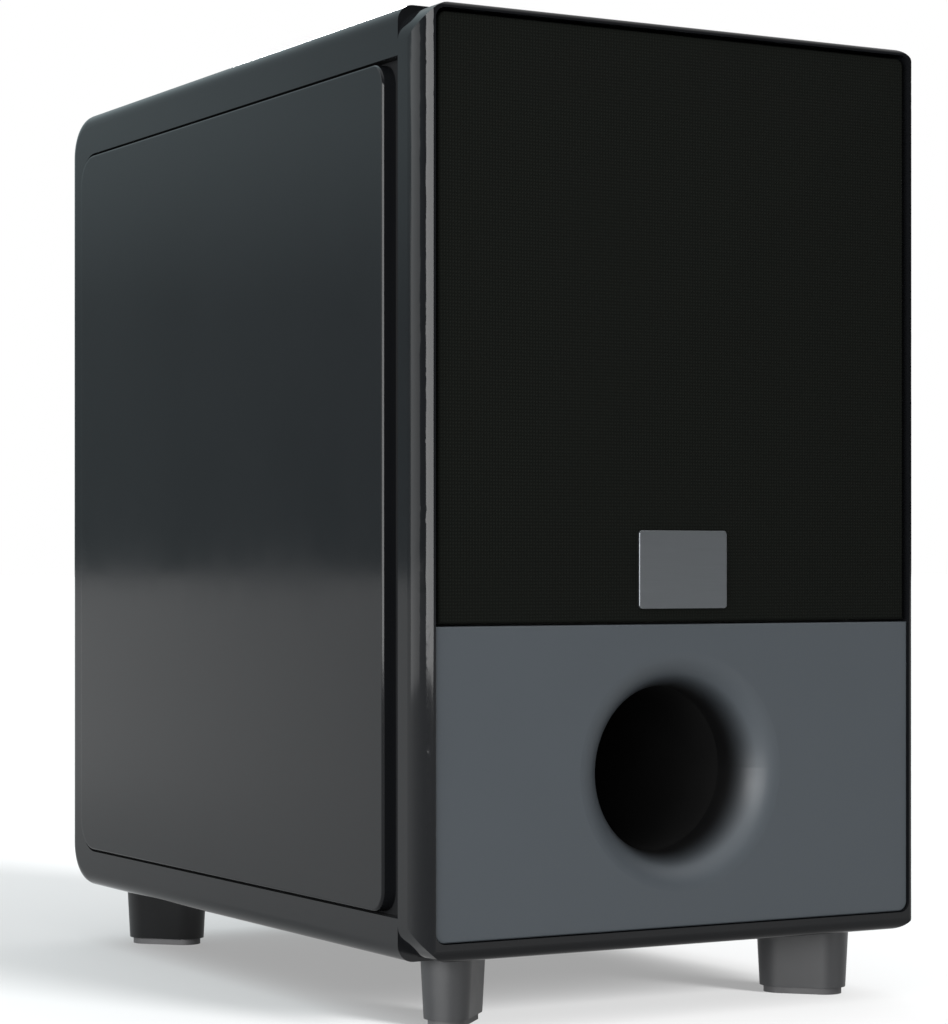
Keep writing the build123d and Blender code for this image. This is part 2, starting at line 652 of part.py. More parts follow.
# ----------------------------------------------------------------------- amplifier
# Everything on the amplifier plate is placed by (x, height above the plate's middle).
LEVEL_AT = (-38.0, 82.0)
CROSSOVER_AT = (38.0, 82.0)
LED_AT = (0.0, 100.0)
PHASE_AT = (-38.0, 38.0)
POWER_AT = (38.0, 38.0)
JACKS_AT = [(-30.0, 4.0), (0.0, 4.0), (30.0, 4.0)]
INLET_AT = (-30.0, -86.0)
ROCKER_AT = (36.0, -86.0)

BUSH_R = 4.5
SHAFT_R = 3.0
RUNNING = 0.05
PLATE_R = 4.0
PLATE_BORE_R = 1.8
PLATE_HEAD_R = 3.3
PLATE_HEAD_H = 2.2
PLATE_SCREW_L = 16.0
LED_R = 2.5
JACK_BODY_R = 6.0
JACK_SHELL_R = 4.15
SWITCH_SLOT = (10.4, 5.0)
INLET_BODY = (27.0, 34.0)
ROCKER_BODY = (13.0, 19.0)

with BuildPart() as amp_plate:
    with BuildSketch(facing(AMP_BACK, 0, MID_Z)):
        RectangleRounded(AMP_W, AMP_H, PLATE_R)
        with Locations(LEVEL_AT, CROSSOVER_AT):
            Circle(BUSH_R, mode=Mode.SUBTRACT)
        with Locations(LED_AT):
            Circle(LED_R, mode=Mode.SUBTRACT)
        with Locations(PHASE_AT, POWER_AT):
            Rectangle(*SWITCH_SLOT, mode=Mode.SUBTRACT)
        with Locations(*JACKS_AT):
            Circle(JACK_BODY_R, mode=Mode.SUBTRACT)
        with Locations(INLET_AT):
            Rectangle(*INLET_BODY, mode=Mode.SUBTRACT)
        with Locations(ROCKER_AT):
            Rectangle(*ROCKER_BODY, mode=Mode.SUBTRACT)
        with Locations(*AMP_SCREWS):
            Circle(PLATE_BORE_R, mode=Mode.SUBTRACT)
    extrude(amount=AMP_PLATE_T)

with BuildPart() as amp_gasket:
    with BuildSketch(facing(AMP_FACE, 0, MID_Z)):
        Rectangle(AMP_W - 1, AMP_H - 1)
        Rectangle(AMP_OPENING_W, AMP_OPENING_H, mode=Mode.SUBTRACT)
        with Locations(*AMP_SCREWS):
            Circle(PLATE_BORE_R, mode=Mode.SUBTRACT)
    extrude(amount=GASKET_T)

with BuildPart() as amp_screws:
    with BuildSketch(facing(AMP_BACK + PLATE_HEAD_H, 0, MID_Z)):
        with Locations(*AMP_SCREWS):
            Circle(PLATE_HEAD_R)
    extrude(amount=PLATE_HEAD_H)
    fillet(amp_screws.faces().sort_by(Axis.Y)[-len(AMP_SCREWS):].edges(), HEAD_EDGE_R)
    with BuildSketch(facing(AMP_BACK, 0, MID_Z)):
        with Locations(*AMP_SCREWS):
            Circle(AMP_SCREW_R)
    extrude(amount=PLATE_SCREW_L)


KNOB_FRONT = 372.0
KNOB_R = 10.2
KNOB_TAPER = -3.0
KNOB_EDGE_R = 1.0
GRIP_PCR = 10.9
GRIP_COUNT = 18
GRIP_R = 0.7
GRIP_BACK = OVERALL_D - 1
GRIP_FRONT = 374.0
POINTER = (1.2, 7.0)
POINTER_RISE = 6.0
POINTER_DEPTH = 0.8
RECESS_R = 6.0
SHAFT_FRONT = 357.5
SHAFT_BACK = 382.0
POT_R = 8.5
POT_L = 12.0
BUSH_BACK = 373.0
BUSH_FRONT = 357.0


def make_dial(x, z):
    """Knob of one rotary control, with its pointer groove, and the shaft that it turns."""
    with BuildPart() as knob:
        with BuildSketch(facing(OVERALL_D, x, MID_Z + z)):
            Circle(KNOB_R)
        extrude(amount=OVERALL_D - KNOB_FRONT, taper=KNOB_TAPER)
        fillet(knob.faces().sort_by(Axis.Y)[-1].edges(), KNOB_EDGE_R)
        with BuildSketch(facing(GRIP_BACK, x, MID_Z + z)):
            with PolarLocations(GRIP_PCR, GRIP_COUNT):
                Circle(GRIP_R)
        extrude(amount=GRIP_BACK - GRIP_FRONT + 1, mode=Mode.SUBTRACT)
        with BuildSketch(facing(OVERALL_D, x, MID_Z + z)):
            with Locations((0, POINTER_RISE)):
                Rectangle(*POINTER)
        extrude(amount=POINTER_DEPTH, mode=Mode.SUBTRACT)
        with BuildSketch(facing(GRIP_FRONT, x, MID_Z + z)):
            Circle(RECESS_R)
        extrude(amount=GRIP_FRONT - KNOB_FRONT, mode=Mode.SUBTRACT)
        with BuildSketch(facing(SHAFT_BACK, x, MID_Z + z)):
            Circle(SHAFT_R)
        extrude(amount=SHAFT_BACK - GRIP_FRONT, mode=Mode.SUBTRACT)
    shaft = turned(tube(0, SHAFT_R, SHAFT_FRONT, SHAFT_BACK), x, MID_Z + z)
    return knob, shaft


level_knob, level_shaft = make_dial(*LEVEL_AT)
crossover_knob, crossover_shaft = make_dial(*CROSSOVER_AT)

with BuildPart() as pot_bodies:
    with BuildSketch(facing(AMP_FACE, 0, MID_Z)):
        with Locations(LEVEL_AT, CROSSOVER_AT):
            Circle(POT_R)
    extrude(amount=POT_L)
    with BuildSketch(facing(BUSH_BACK, 0, MID_Z)):
        with Locations(LEVEL_AT, CROSSOVER_AT):
            Circle(BUSH_R)
    extrude(amount=BUSH_BACK - AMP_FACE)
    with BuildSketch(facing(BUSH_BACK, 0, MID_Z)):
        with Locations(LEVEL_AT, CROSSOVER_AT):
            Circle(SHAFT_R + RUNNING)
    extrude(amount=BUSH_BACK - BUSH_FRONT, mode=Mode.SUBTRACT)

SLIDER = (5.0, 4.4)
SLIDER_BACK = 372.6
SLIDER_L = 10.2
RIB_PITCH = 1.6
RIB_GROOVE = 0.6
PHASE_THROW = 4.0
SWITCH_SIZE = (20.0, 10.0)
SWITCH_L = 9.0
SWITCH_CHANNEL = 5.0


def make_slider(x, z):
    """Grooved thumb piece of a slide switch."""
    with BuildPart() as slider:
        with BuildSketch(facing(SLIDER_BACK, x, MID_Z + z)):
            Rectangle(*SLIDER)
        extrude(amount=SLIDER_L)
        with BuildSketch(facing(SLIDER_BACK, x, MID_Z + z)):
            with GridLocations(RIB_PITCH, 0, 3, 1):
                Rectangle(RIB_GROOVE, SLIDER[1])
        extrude(amount=RIB_GROOVE, mode=Mode.SUBTRACT)
    return slider


phase_switch = make_slider(PHASE_AT[0] - PHASE_THROW / 2, PHASE_AT[1])
power_mode_switch = make_slider(*POWER_AT)

with BuildPart() as switch_bodies:
    with BuildSketch(facing(AMP_FACE, 0, MID_Z)):
        with Locations(PHASE_AT, POWER_AT):
            Rectangle(*SWITCH_SIZE)
    extrude(amount=SWITCH_L)
    with BuildSketch(facing(AMP_FACE, 0, MID_Z)):
        with Locations(PHASE_AT, POWER_AT):
            Rectangle(*SWITCH_SLOT)
    extrude(amount=SWITCH_CHANNEL, mode=Mode.SUBTRACT)

LED_REACH = 1.6
LED_L = 7.0
LED_DOME_R = 1.4
with BuildPart() as status_led:
    with BuildSketch(facing(AMP_BACK + LED_REACH, LED_AT[0], MID_Z + LED_AT[1])):
        Circle(LED_R)
    extrude(amount=LED_L)
    fillet(status_led.faces().sort_by(Axis.Y)[-1].edges(), LED_DOME_R)

JACK_TIP = 379.0
JACK_CORE_TIP = JACK_TIP - 1
JACK_CORE_R = 3.3
JACK_PIN_R = 1.65
JACK_PIN_L = 12.0
JACK_BODY_L = 18.0
COLLAR_R = 7.5
COLLAR_T = 1.5
COLLAR_BACK = AMP_BACK + COLLAR_T
with BuildPart() as jack_bodies:
    with BuildSketch(facing(AMP_BACK, 0, MID_Z)):
        with Locations(*JACKS_AT):
            Circle(JACK_BODY_R)
    extrude(amount=JACK_BODY_L)
    with BuildSketch(facing(COLLAR_BACK, 0, MID_Z)):
        with Locations(*JACKS_AT):
            Circle(COLLAR_R)
    extrude(amount=COLLAR_T)
    with BuildSketch(facing(JACK_CORE_TIP, 0, MID_Z)):
        with Locations(*JACKS_AT):
            Circle(JACK_CORE_R)
    extrude(amount=JACK_CORE_TIP - COLLAR_BACK)
    with BuildSketch(facing(JACK_TIP, 0, MID_Z)):
        with Locations(*JACKS_AT):
            Circle(JACK_PIN_R)
    extrude(amount=JACK_PIN_L, mode=Mode.SUBTRACT)

with BuildPart() as jack_shells:
    with BuildSketch(facing(JACK_TIP, 0, MID_Z)):
        with Locations(*JACKS_AT):
            Circle(JACK_SHELL_R)
    extrude(amount=JACK_TIP - COLLAR_BACK)
    with BuildSketch(facing(JACK_TIP, 0, MID_Z)):
        with Locations(*JACKS_AT):
            Circle(JACK_CORE_R)
    extrude(amount=JACK_TIP - COLLAR_BACK, mode=Mode.SUBTRACT)

# Mains inlet: the plug's cavity above, the fuse drawer's slot below it.
INLET_X, INLET_Z = INLET_AT[0], MID_Z + INLET_AT[1]
CAVITY = (24.6, 16.9)
CAVITY_UP = 6.5
DRAWER = (20.0, 7.4)
DRAWER_DOWN = -11.5
DRAWER_FRONT = 349.0
INLET_FACE = AMP_BACK + 2.5
PIN_DEPTH = 15.0
PIN_SET_BACK = 2.0
PINS_AT = [(-7.0, -2.0), (7.0, -2.0), (0.0, 2.0)]
PIN_SIZE = (2.0, 4.0)
CAVITY_CHAMFER = 4.5
INLET_BODY_L = 24.0
INLET_RIM = (5.0, 6.0)
INLET_RIM_R = 2.0
INLET_EDGE_R = 0.8
DRAWER_FIT = 0.4
DRAWER_TAB = (10.0, 2.0)
DRAWER_TAB_REACH = 1.2
with BuildPart() as mains_inlet:
    with BuildSketch(facing(AMP_BACK, INLET_X, INLET_Z)):
        Rectangle(*INLET_BODY)
    extrude(amount=INLET_BODY_L)
    with BuildSketch(facing(INLET_FACE, INLET_X, INLET_Z)):
        RectangleRounded(INLET_BODY[0] + INLET_RIM[0], INLET_BODY[1] + INLET_RIM[1], INLET_RIM_R)
    extrude(amount=INLET_FACE - AMP_BACK)
    fillet(mains_inlet.faces().sort_by(Axis.Y)[-1].edges(), INLET_EDGE_R)
    with BuildSketch(facing(INLET_FACE, INLET_X, INLET_Z)):
        with Locations((0, CAVITY_UP)):
            Rectangle(*CAVITY)
        chamfer(vertices().group_by(Axis.Y)[-1], CAVITY_CHAMFER)
    extrude(amount=PIN_DEPTH + PIN_SET_BACK, mode=Mode.SUBTRACT)
    with BuildSketch(facing(INLET_FACE, INLET_X, INLET_Z)):
        with Locations((0, DRAWER_DOWN)):
            Rectangle(*DRAWER)
    extrude(amount=INLET_FACE - DRAWER_FRONT, mode=Mode.SUBTRACT)

with BuildPart() as inlet_pins:
    with BuildSketch(facing(INLET_FACE - PIN_SET_BACK, INLET_X, INLET_Z + CAVITY_UP)):
        with Locations(*PINS_AT):
            Rectangle(*PIN_SIZE)
    extrude(amount=PIN_DEPTH)

with BuildPart() as fuse_drawer:
    with BuildSketch(facing(INLET_FACE, INLET_X, INLET_Z + DRAWER_DOWN)):
        Rectangle(DRAWER[0] - 2 * DRAWER_FIT, DRAWER[1] - 2 * DRAWER_FIT)
    extrude(amount=INLET_FACE - DRAWER_FRONT - DRAWER_FIT)
    with BuildSketch(facing(INLET_FACE + DRAWER_TAB_REACH, INLET_X, INLET_Z + DRAWER_DOWN)):
        Rectangle(*DRAWER_TAB)
    extrude(amount=DRAWER_TAB_REACH)

# The rocker tips about a pivot inside its housing and rests with its lower end pressed.
ROCKER_X, ROCKER_Z = ROCKER_AT[0], MID_Z + ROCKER_AT[1]
ROCKER_PIVOT = 367.0
ROCKER_TIP = 8.0
ROCKER_BODY_L = 18.0
ROCKER_RIM = 3.0
ROCKER_RIM_T = 2.0
ROCKER_RIM_R = 1.2
ROCKER_EDGE_R = 0.6
ROCKER_WELL = (11.0, 17.6)
ROCKER_WELL_D = 16.0
ROCKER_W = 10.2
with BuildPart() as rocker_housing:
    with BuildSketch(facing(AMP_BACK, ROCKER_X, ROCKER_Z)):
        Rectangle(*ROCKER_BODY)
    extrude(amount=ROCKER_BODY_L)
    with BuildSketch(facing(AMP_BACK + ROCKER_RIM_T, ROCKER_X, ROCKER_Z)):
        RectangleRounded(ROCKER_BODY[0] + ROCKER_RIM, ROCKER_BODY[1] + ROCKER_RIM, ROCKER_RIM_R)
    extrude(amount=ROCKER_RIM_T)
    fillet(rocker_housing.faces().sort_by(Axis.Y)[-1].edges(), ROCKER_EDGE_R)
    with BuildSketch(facing(AMP_BACK + ROCKER_RIM_T, ROCKER_X, ROCKER_Z)):
        Rectangle(*ROCKER_WELL)
    extrude(amount=ROCKER_WELL_D, mode=Mode.SUBTRACT)

ROCKER_OUTLINE = [(-7.5, 1.0), (-7.5, 6.0), (0.0, 4.2), (7.5, 6.0), (7.5, 1.0), (0.0, -3.5)]


def tipped(up, out):
    """Point of the rocker, from (height, depth) about its pivot, turned to its rest."""
    across = cos(radians(ROCKER_TIP))
    along = sin(radians(ROCKER_TIP))
    return (
        FRONT_Y + ROCKER_PIVOT + out * across + up * along,
        ROCKER_Z + up * across - out * along,
    )


with BuildPart() as rocker_switch:
    with BuildSketch(Plane.YZ.offset(ROCKER_X - ROCKER_W / 2)):
        with BuildLine():
            Polyline(*[tipped(*point) for point in ROCKER_OUTLINE], close=True)
        make_face()
    extrude(amount=ROCKER_W)

CHASSIS_W = 146.0
CHASSIS_H = 222.0
SHEET = 1.2
CHASSIS_BACK = CHASSIS_FRONT + SHEET
STANDOFF_L = 8.0
STANDOFF_R = 3.0
STANDOFF_GRID = (118.0, 84.0)
AMP_BOARD_T = 1.6
AMP_BOARD_SIZE = (130.0, 96.0)
AMP_BOARD_R = 2.0
AMP_BOARD_Z = MID_Z + 50
BOARD_FRONT = CHASSIS_BACK + STANDOFF_L
BOARD_BACK = BOARD_FRONT + AMP_BOARD_T
with BuildPart() as amp_chassis:
    with BuildSketch(facing(AMP_FACE, 0, MID_Z)):
        Rectangle(CHASSIS_W, CHASSIS_H)
    extrude(amount=AMP_FACE - CHASSIS_FRONT)
    with BuildSketch(facing(AMP_FACE, 0, MID_Z)):
        Rectangle(CHASSIS_W - 2 * SHEET, CHASSIS_H - 2 * SHEET)
    extrude(amount=AMP_FACE - CHASSIS_BACK, mode=Mode.SUBTRACT)
    with BuildSketch(facing(BOARD_FRONT, 0, AMP_BOARD_Z)):
        with GridLocations(*STANDOFF_GRID, 2, 2):
            Circle(STANDOFF_R)
    extrude(amount=BOARD_FRONT - CHASSIS_BACK)

with BuildPart() as amp_board:
    with BuildSketch(facing(BOARD_BACK, 0, AMP_BOARD_Z)):
        RectangleRounded(*AMP_BOARD_SIZE, AMP_BOARD_R)
    extrude(amount=AMP_BOARD_T)

CAN_R = 12.5
CAN_L = 36.0
CAN_EDGE_R = 1.2
CANS_AT = [(-32.0, -26.0), (0.0, -26.0)]
with BuildPart() as capacitors:
    with BuildSketch(facing(BOARD_BACK + CAN_L, 0, AMP_BOARD_Z)):
        with Locations(*CANS_AT):
            Circle(CAN_R)
    extrude(amount=CAN_L)
    fillet(capacitors.faces().sort_by(Axis.Y)[-len(CANS_AT):].edges(), CAN_EDGE_R)

HEATSINK_Z = MID_Z - 26
SINK_SIZE = (112.0, 32.0)
SINK_BASE = 5.0
FIN_COUNT = 11
FIN_PITCH = 10.0
FIN_T = 2.0
FIN_L = 22.0
with BuildPart() as heat_sink:
    with BuildSketch(facing(AMP_FACE, 0, HEATSINK_Z)):
        Rectangle(*SINK_SIZE)
    extrude(amount=SINK_BASE)
    with BuildSketch(facing(AMP_FACE - SINK_BASE, 0, HEATSINK_Z)):
        with GridLocations(FIN_PITCH, 0, FIN_COUNT, 1):
            Rectangle(FIN_T, SINK_SIZE[1])
    extrude(amount=FIN_L)

TOROID_Z = MID_Z - 58
TOROID_L = 34.0
TOROID_R = 42.0
TOROID_HOLE_R = 14.0
TOROID_EDGE_R = 6.0
TOROID_BACK = CHASSIS_BACK + TOROID_L
with BuildPart() as transformer:
    with BuildSketch(facing(TOROID_BACK, 0, TOROID_Z)):
        Circle(TOROID_R)
        Circle(TOROID_HOLE_R, mode=Mode.SUBTRACT)
    extrude(amount=TOROID_L)
    fillet(transformer.edges().filter_by(GeomType.CIRCLE), TOROID_EDGE_R)

BOLT_R = 3.0
WASHER_R = 24.0
WASHER_BACK = TOROID_BACK + 1.5
NUT_R = 6.0
NUT_BACK = TOROID_BACK + 6.0
CLAMP_OUTLINE = [
    (0, CHASSIS_BACK), (BOLT_R, CHASSIS_BACK), (BOLT_R, TOROID_BACK), (WASHER_R, TOROID_BACK),
    (WASHER_R, WASHER_BACK), (NUT_R, WASHER_BACK), (NUT_R, NUT_BACK), (0, NUT_BACK),
]
transformer_clamp = turned(CLAMP_OUTLINE, 0, TOROID_Z)

# ------------------------------------------------------------------- speaker wiring
LEAD_D = 5.0
LEAD_START = TAB_BACK
CLIP_AT = (74.0, 290.0)
LEAD_ROUTE = [
    (TERMINAL_X, LEAD_START, DRIVER_Z),
    (TERMINAL_X, 128.0, DRIVER_Z),
    (CLIP_AT[0], 162.0, CLIP_AT[1]),
    (CLIP_AT[0], 226.0, CLIP_AT[1]),
    (50.0, 262.0, 270.0),
    (50.0, CHASSIS_FRONT, 270.0),
]
route = [Vector(x, FRONT_Y + depth, z) for x, depth, z in LEAD_ROUTE]
lead_radii = []
for before, here, after in zip(route, route[1:], route[2:]):
    turn = radians((here - before).get_angle(after - here))
    shorter = min((here - before).length, (after - here).length)
    lead_radii.append(0.45 * shorter / tan(turn / 2))
print("speaker lead radii", [round(r, 1) for r in lead_radii])

with BuildPart() as speaker_lead:
    with BuildLine() as lead_path:
        FilletPolyline(*route, radius=lead_radii)
    with BuildSketch(facing(LEAD_START, TERMINAL_X, DRIVER_Z)):
        Circle(LEAD_D / 2)
    sweep(path=lead_path.line)

CLIP_WALL = 1.6
CLIP_FIT = 0.1
CLIP_ARM_W = 5.0
CLIP_LENGTH = 10.0
CLIP_BACK = BRACE_FRONT + BRACE_T - 1
CLIP_ARM = WINDOW_W / 2 - CLIP_AT[0]
with BuildPart() as lead_clip:
    with BuildSketch(facing(CLIP_BACK, *CLIP_AT)):
        Circle(LEAD_D / 2 + CLIP_WALL)
        with Locations((CLIP_ARM / 2, 0)):
            Rectangle(CLIP_ARM, CLIP_ARM_W)
        Circle(LEAD_D / 2 + CLIP_FIT, mode=Mode.SUBTRACT)
    extrude(amount=CLIP_LENGTH)

# ------------------------------------------------------------------- label and write
pieces = {
    "cabinet_wrap": cabinet_wrap,
    "front_frame": front_frame,
    "baffle_board": baffle_board,
    "rear_board": rear_board,
    "brace": brace,
    "wadding": wadding,
    "side_panel_left": side_panel_left,
    "side_panel_right": side_panel_right,
    "lower_fascia": lower_fascia,
    "port_tube": port_tube,
    "grille_frame": grille_frame,
    "grille_cloth": grille_cloth,
    "grille_sockets": grille_sockets,
    "badge_plate": badge_plate,
    "driver_basket": driver_basket,
    "trim_ring": trim_ring,
    "driver_surround": driver_surround,
    "driver_cone": driver_cone,
    "dust_cap": dust_cap,
    "coil_former": coil_former,
    "coil_winding": coil_winding,
    "driver_spider": driver_spider,
    "magnet_top_plate": magnet_top_plate,
    "driver_magnet": driver_magnet,
    "magnet_yoke": magnet_yoke,
    "driver_terminals": driver_terminals,
    "driver_screws": driver_screws,
    **feet,
    "foot_pads": foot_pads,
    "foot_screws": foot_screws,
    "amp_plate": amp_plate,
    "amp_gasket": amp_gasket,
    "amp_screws": amp_screws,
    "level_knob": level_knob,
    "level_shaft": level_shaft,
    "crossover_knob": crossover_knob,
    "crossover_shaft": crossover_shaft,
    "pot_bodies": pot_bodies,
    "phase_switch": phase_switch,
    "power_mode_switch": power_mode_switch,
    "switch_bodies": switch_bodies,
    "status_led": status_led,
    "jack_bodies": jack_bodies,
    "jack_shells": jack_shells,
    "mains_inlet": mains_inlet,
    "inlet_pins": inlet_pins,
    "fuse_drawer": fuse_drawer,
    "rocker_housing": rocker_housing,
    "rocker_switch": rocker_switch,
    "amp_chassis": amp_chassis,
    "amp_board": amp_board,
    "capacitors": capacitors,
    "heat_sink": heat_sink,
    "transformer": transformer,
    "transformer_clamp": transformer_clamp,
    "speaker_lead": speaker_lead,
    "lead_clip": lead_clip,
}
print(len(pieces), "pieces")
for name, piece in pieces.items():
    piece.part.label = name
    export_step(piece.part, f"parts/{name}.step")
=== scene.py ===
from math import cos, pi, radians, sin

import bmesh
import bpy
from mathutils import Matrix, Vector, noise


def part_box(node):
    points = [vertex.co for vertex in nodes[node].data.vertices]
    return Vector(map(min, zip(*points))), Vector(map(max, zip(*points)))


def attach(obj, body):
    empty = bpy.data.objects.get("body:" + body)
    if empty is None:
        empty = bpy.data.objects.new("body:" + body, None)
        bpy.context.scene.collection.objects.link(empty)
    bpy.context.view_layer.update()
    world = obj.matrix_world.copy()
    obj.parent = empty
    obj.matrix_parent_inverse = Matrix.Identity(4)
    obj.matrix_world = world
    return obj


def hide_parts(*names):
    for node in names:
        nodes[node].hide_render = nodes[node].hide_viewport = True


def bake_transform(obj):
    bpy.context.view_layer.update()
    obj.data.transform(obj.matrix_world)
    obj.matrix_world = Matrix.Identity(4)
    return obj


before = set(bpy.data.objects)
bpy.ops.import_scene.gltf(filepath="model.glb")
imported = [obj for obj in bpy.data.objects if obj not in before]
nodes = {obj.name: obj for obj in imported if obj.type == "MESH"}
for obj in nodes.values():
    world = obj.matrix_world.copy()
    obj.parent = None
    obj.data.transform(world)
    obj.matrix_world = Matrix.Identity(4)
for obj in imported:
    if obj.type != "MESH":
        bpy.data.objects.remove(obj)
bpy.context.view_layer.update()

# Looks of a gloss black subwoofer. Metres; +Z is up and the front faces -Y.
MM = 0.001

# ------------------------------------------------------------------------ places
cabinet_lo, cabinet_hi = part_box("cabinet_wrap")
panel_lo, panel_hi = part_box("side_panel_left")
frame_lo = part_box("front_frame")[0]
cloth_lo, cloth_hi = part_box("grille_cloth")
baffle_lo, baffle_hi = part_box("baffle_board")
plate_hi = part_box("amp_plate")[1]
board_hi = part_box("amp_board")[1]
rear_lo, rear_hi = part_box("rear_board")
wadding_lo, wadding_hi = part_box("wadding")
PORT_R = 34.5 * MM
FASCIA_GREY = (0.0248, 0.0292, 0.0335)


def centre(node):
    """Middle of a CAD node's box."""
    lo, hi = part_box(node)
    return (lo + hi) / 2


port_axis = centre("port_tube")


# ----------------------------------------------------------------- shader helpers
class Shader:
    """A principled material under construction, with its nodes added one by one."""

    def __init__(self, name, color, roughness, metallic=0.0, **inputs):
        self.material = bpy.data.materials.new(name)
        self.material.use_nodes = True
        self.tree = self.material.node_tree
        self.surface = self.tree.nodes["Principled BSDF"]
        self.surface.inputs["Base Color"].default_value = (*color, 1)
        self.surface.inputs["Roughness"].default_value = roughness
        self.surface.inputs["Metallic"].default_value = metallic
        for key, value in inputs.items():
            self.surface.inputs[key.replace("_", " ")].default_value = value
        self.place = self.node("ShaderNodeTexCoord").outputs["Object"]
        self.bump_chain = None

    def node(self, kind, **settings):
        """New node with its properties set."""
        made = self.tree.nodes.new(kind)
        for key, value in settings.items():
            setattr(made, key, value)
        return made

    def link(self, source, socket):
        """Joins an output to an input."""
        self.tree.links.new(source, socket)

    def stretched(self, scale):
        """The object's coordinates, scaled along each axis."""
        mapping = self.node("ShaderNodeMapping")
        mapping.inputs["Scale"].default_value = scale
        self.link(self.place, mapping.inputs["Vector"])
        return mapping.outputs["Vector"]

    def noise(self, scale, detail=3.0, rough=0.5, stretch=(1, 1, 1)):
        """Soft random grain, scale cells to the metre."""
        made = self.node("ShaderNodeTexNoise")
        made.inputs["Scale"].default_value = scale
        made.inputs["Detail"].default_value = detail
        made.inputs["Roughness"].default_value = rough
        self.link(self.stretched(stretch), made.inputs["Vector"])
        return made.outputs["Fac"]

    def wave(self, per_metre, axis):
        """Bands across one axis: Blender's wave repeats every pi / 10 of a unit."""
        made = self.node("ShaderNodeTexWave", wave_type="BANDS", wave_profile="SIN")
        made.bands_direction = axis
        made.inputs["Scale"].default_value = per_metre * pi / 10
        self.link(self.place, made.inputs["Vector"])
        return made.outputs["Fac"]

    def span(self, value, low, high, from_low=0.3, from_high=0.7):
        """A 0..1 texture value spread over low..high."""
        made = self.node("ShaderNodeMapRange")
        made.inputs["From Min"].default_value = from_low
        made.inputs["From Max"].default_value = from_high
        made.inputs["To Min"].default_value = low
        made.inputs["To Max"].default_value = high
        self.link(value, made.inputs["Value"])
        return made.outputs["Result"]

    def maths(self, operation, a, b=None):
        """One Math node, each side a number or a socket."""
        made = self.node("ShaderNodeMath", operation=operation)
        for socket, value in zip(made.inputs, (a, b)):
            if value is None:
                continue
            if isinstance(value, (int, float)):
                socket.default_value = value
            else:
                self.link(value, socket)
        return made.outputs[0]

    def mix(self, factor, first, second):
        """Colour between two colours or sockets."""
        made = self.node("ShaderNodeMix", data_type="RGBA")
        self.link(factor, made.inputs["Factor"])
        a, b = [s for s in made.inputs if s.type == "RGBA"]
        for socket, value in ((a, first), (b, second)):
            if isinstance(value, tuple):
                socket.default_value = (*value, 1)
            else:
                self.link(value, socket)
        return [s for s in made.outputs if s.type == "RGBA"][0]

    def color(self, source):
        """Drives the base colour."""
        self.link(source, self.surface.inputs["Base Color"])

    def roughness(self, source):
        """Drives the roughness."""
        self.link(source, self.surface.inputs["Roughness"])

    def bump(self, height, depth, strength=1.0):
        """Relief of a given depth in metres, added to any before it."""
        made = self.node("ShaderNodeBump")
        made.inputs["Strength"].default_value = strength
        made.inputs["Distance"].default_value = depth
        self.link(height, made.inputs["Height"])
        if self.bump_chain is not None:
            self.link(self.bump_chain, made.inputs["Normal"])
        self.bump_chain = made.outputs["Normal"]
        self.link(self.bump_chain, self.surface.inputs["Normal"])

    def axis(self, letter):
        """One coordinate of the object's place."""
        split = self.node("ShaderNodeSeparateXYZ")
        self.link(self.place, split.inputs[0])
        return split.outputs[letter]

    def between(self, value, low, high):
        """1 where value lies between low and high, else 0."""
        above = self.maths("GREATER_THAN", value, low)
        below = self.maths("LESS_THAN", value, high)
        return self.maths("MULTIPLY", above, below)


# ---------------------------------------------------------------------- materials
LACQUER = (0.0026, 0.0028, 0.0032)
RAW_BOARD = (0.19, 0.125, 0.07), (0.33, 0.235, 0.14)
# Painted shade where the fascia's flare runs into the port: its black, and how far out from the
# port it fades back to grey.
PORT_SHADE_BLACK = (0.0012, 0.0012, 0.0013)
WALL = 15 * MM
PORT_SHADE_FADE = 5.5 * MM
# How far each painted area reaches past the faces it covers.
INSIDE_EDGE = 0.2 * MM
PAINT_EDGE = 0.4 * MM
SLOT_DEPTH = 1 * MM
SLOT_EDGE = 2 * MM
SLOT_FRONT = 4 * MM


def lacquer(name):
    """Polished black paint: faint orange peel and a little dust haze."""
    s = Shader(name, LACQUER, 0.08, IOR=1.21)
    haze = s.noise(14, 4, 0.6)
    s.roughness(s.span(haze, 0.06, 0.11))
    s.color(s.mix(haze, LACQUER, tuple(c * 1.3 for c in LACQUER)))
    s.bump(s.noise(420, 2), 0.00001, 0.12)
    return s


def cabinet_paint():
    """Lacquer outside, matte black in the slots round the side panels and raw board inside."""
    s = lacquer("cabinet_lacquer")
    across = s.maths("ABSOLUTE", s.axis("X"))
    up = s.axis("Z")
    along = s.axis("Y")
    inside_x = s.maths("LESS_THAN", across, cabinet_hi.x - WALL + INSIDE_EDGE)
    inside_z = s.between(up, cabinet_lo.z + WALL - INSIDE_EDGE, cabinet_hi.z - WALL + INSIDE_EDGE)
    inside = s.maths("MULTIPLY", inside_x, inside_z)
    inside = s.maths("MULTIPLY", inside, s.between(along, baffle_hi.y, rear_lo.y))
    fibre = s.mix(s.noise(900, 4, 0.7), *RAW_BOARD)
    skin = s.surface.inputs["Base Color"].links[0].from_socket
    s.color(s.mix(inside, skin, fibre))
    slot = s.maths("LESS_THAN", across, cabinet_hi.x - SLOT_DEPTH)
    slot = s.maths("MULTIPLY", slot, s.between(up, panel_lo.z - SLOT_EDGE, panel_hi.z + SLOT_EDGE))
    beside = s.between(along, panel_lo.y - SLOT_FRONT, panel_hi.y + SLOT_EDGE)
    slot = s.maths("MULTIPLY", slot, beside)
    hidden = s.maths("MAXIMUM", inside, slot)
    shine = s.surface.inputs["Roughness"].links[0].from_socket
    s.roughness(s.maths("MAXIMUM", shine, s.maths("MULTIPLY", hidden, 0.75)))
    return s.material


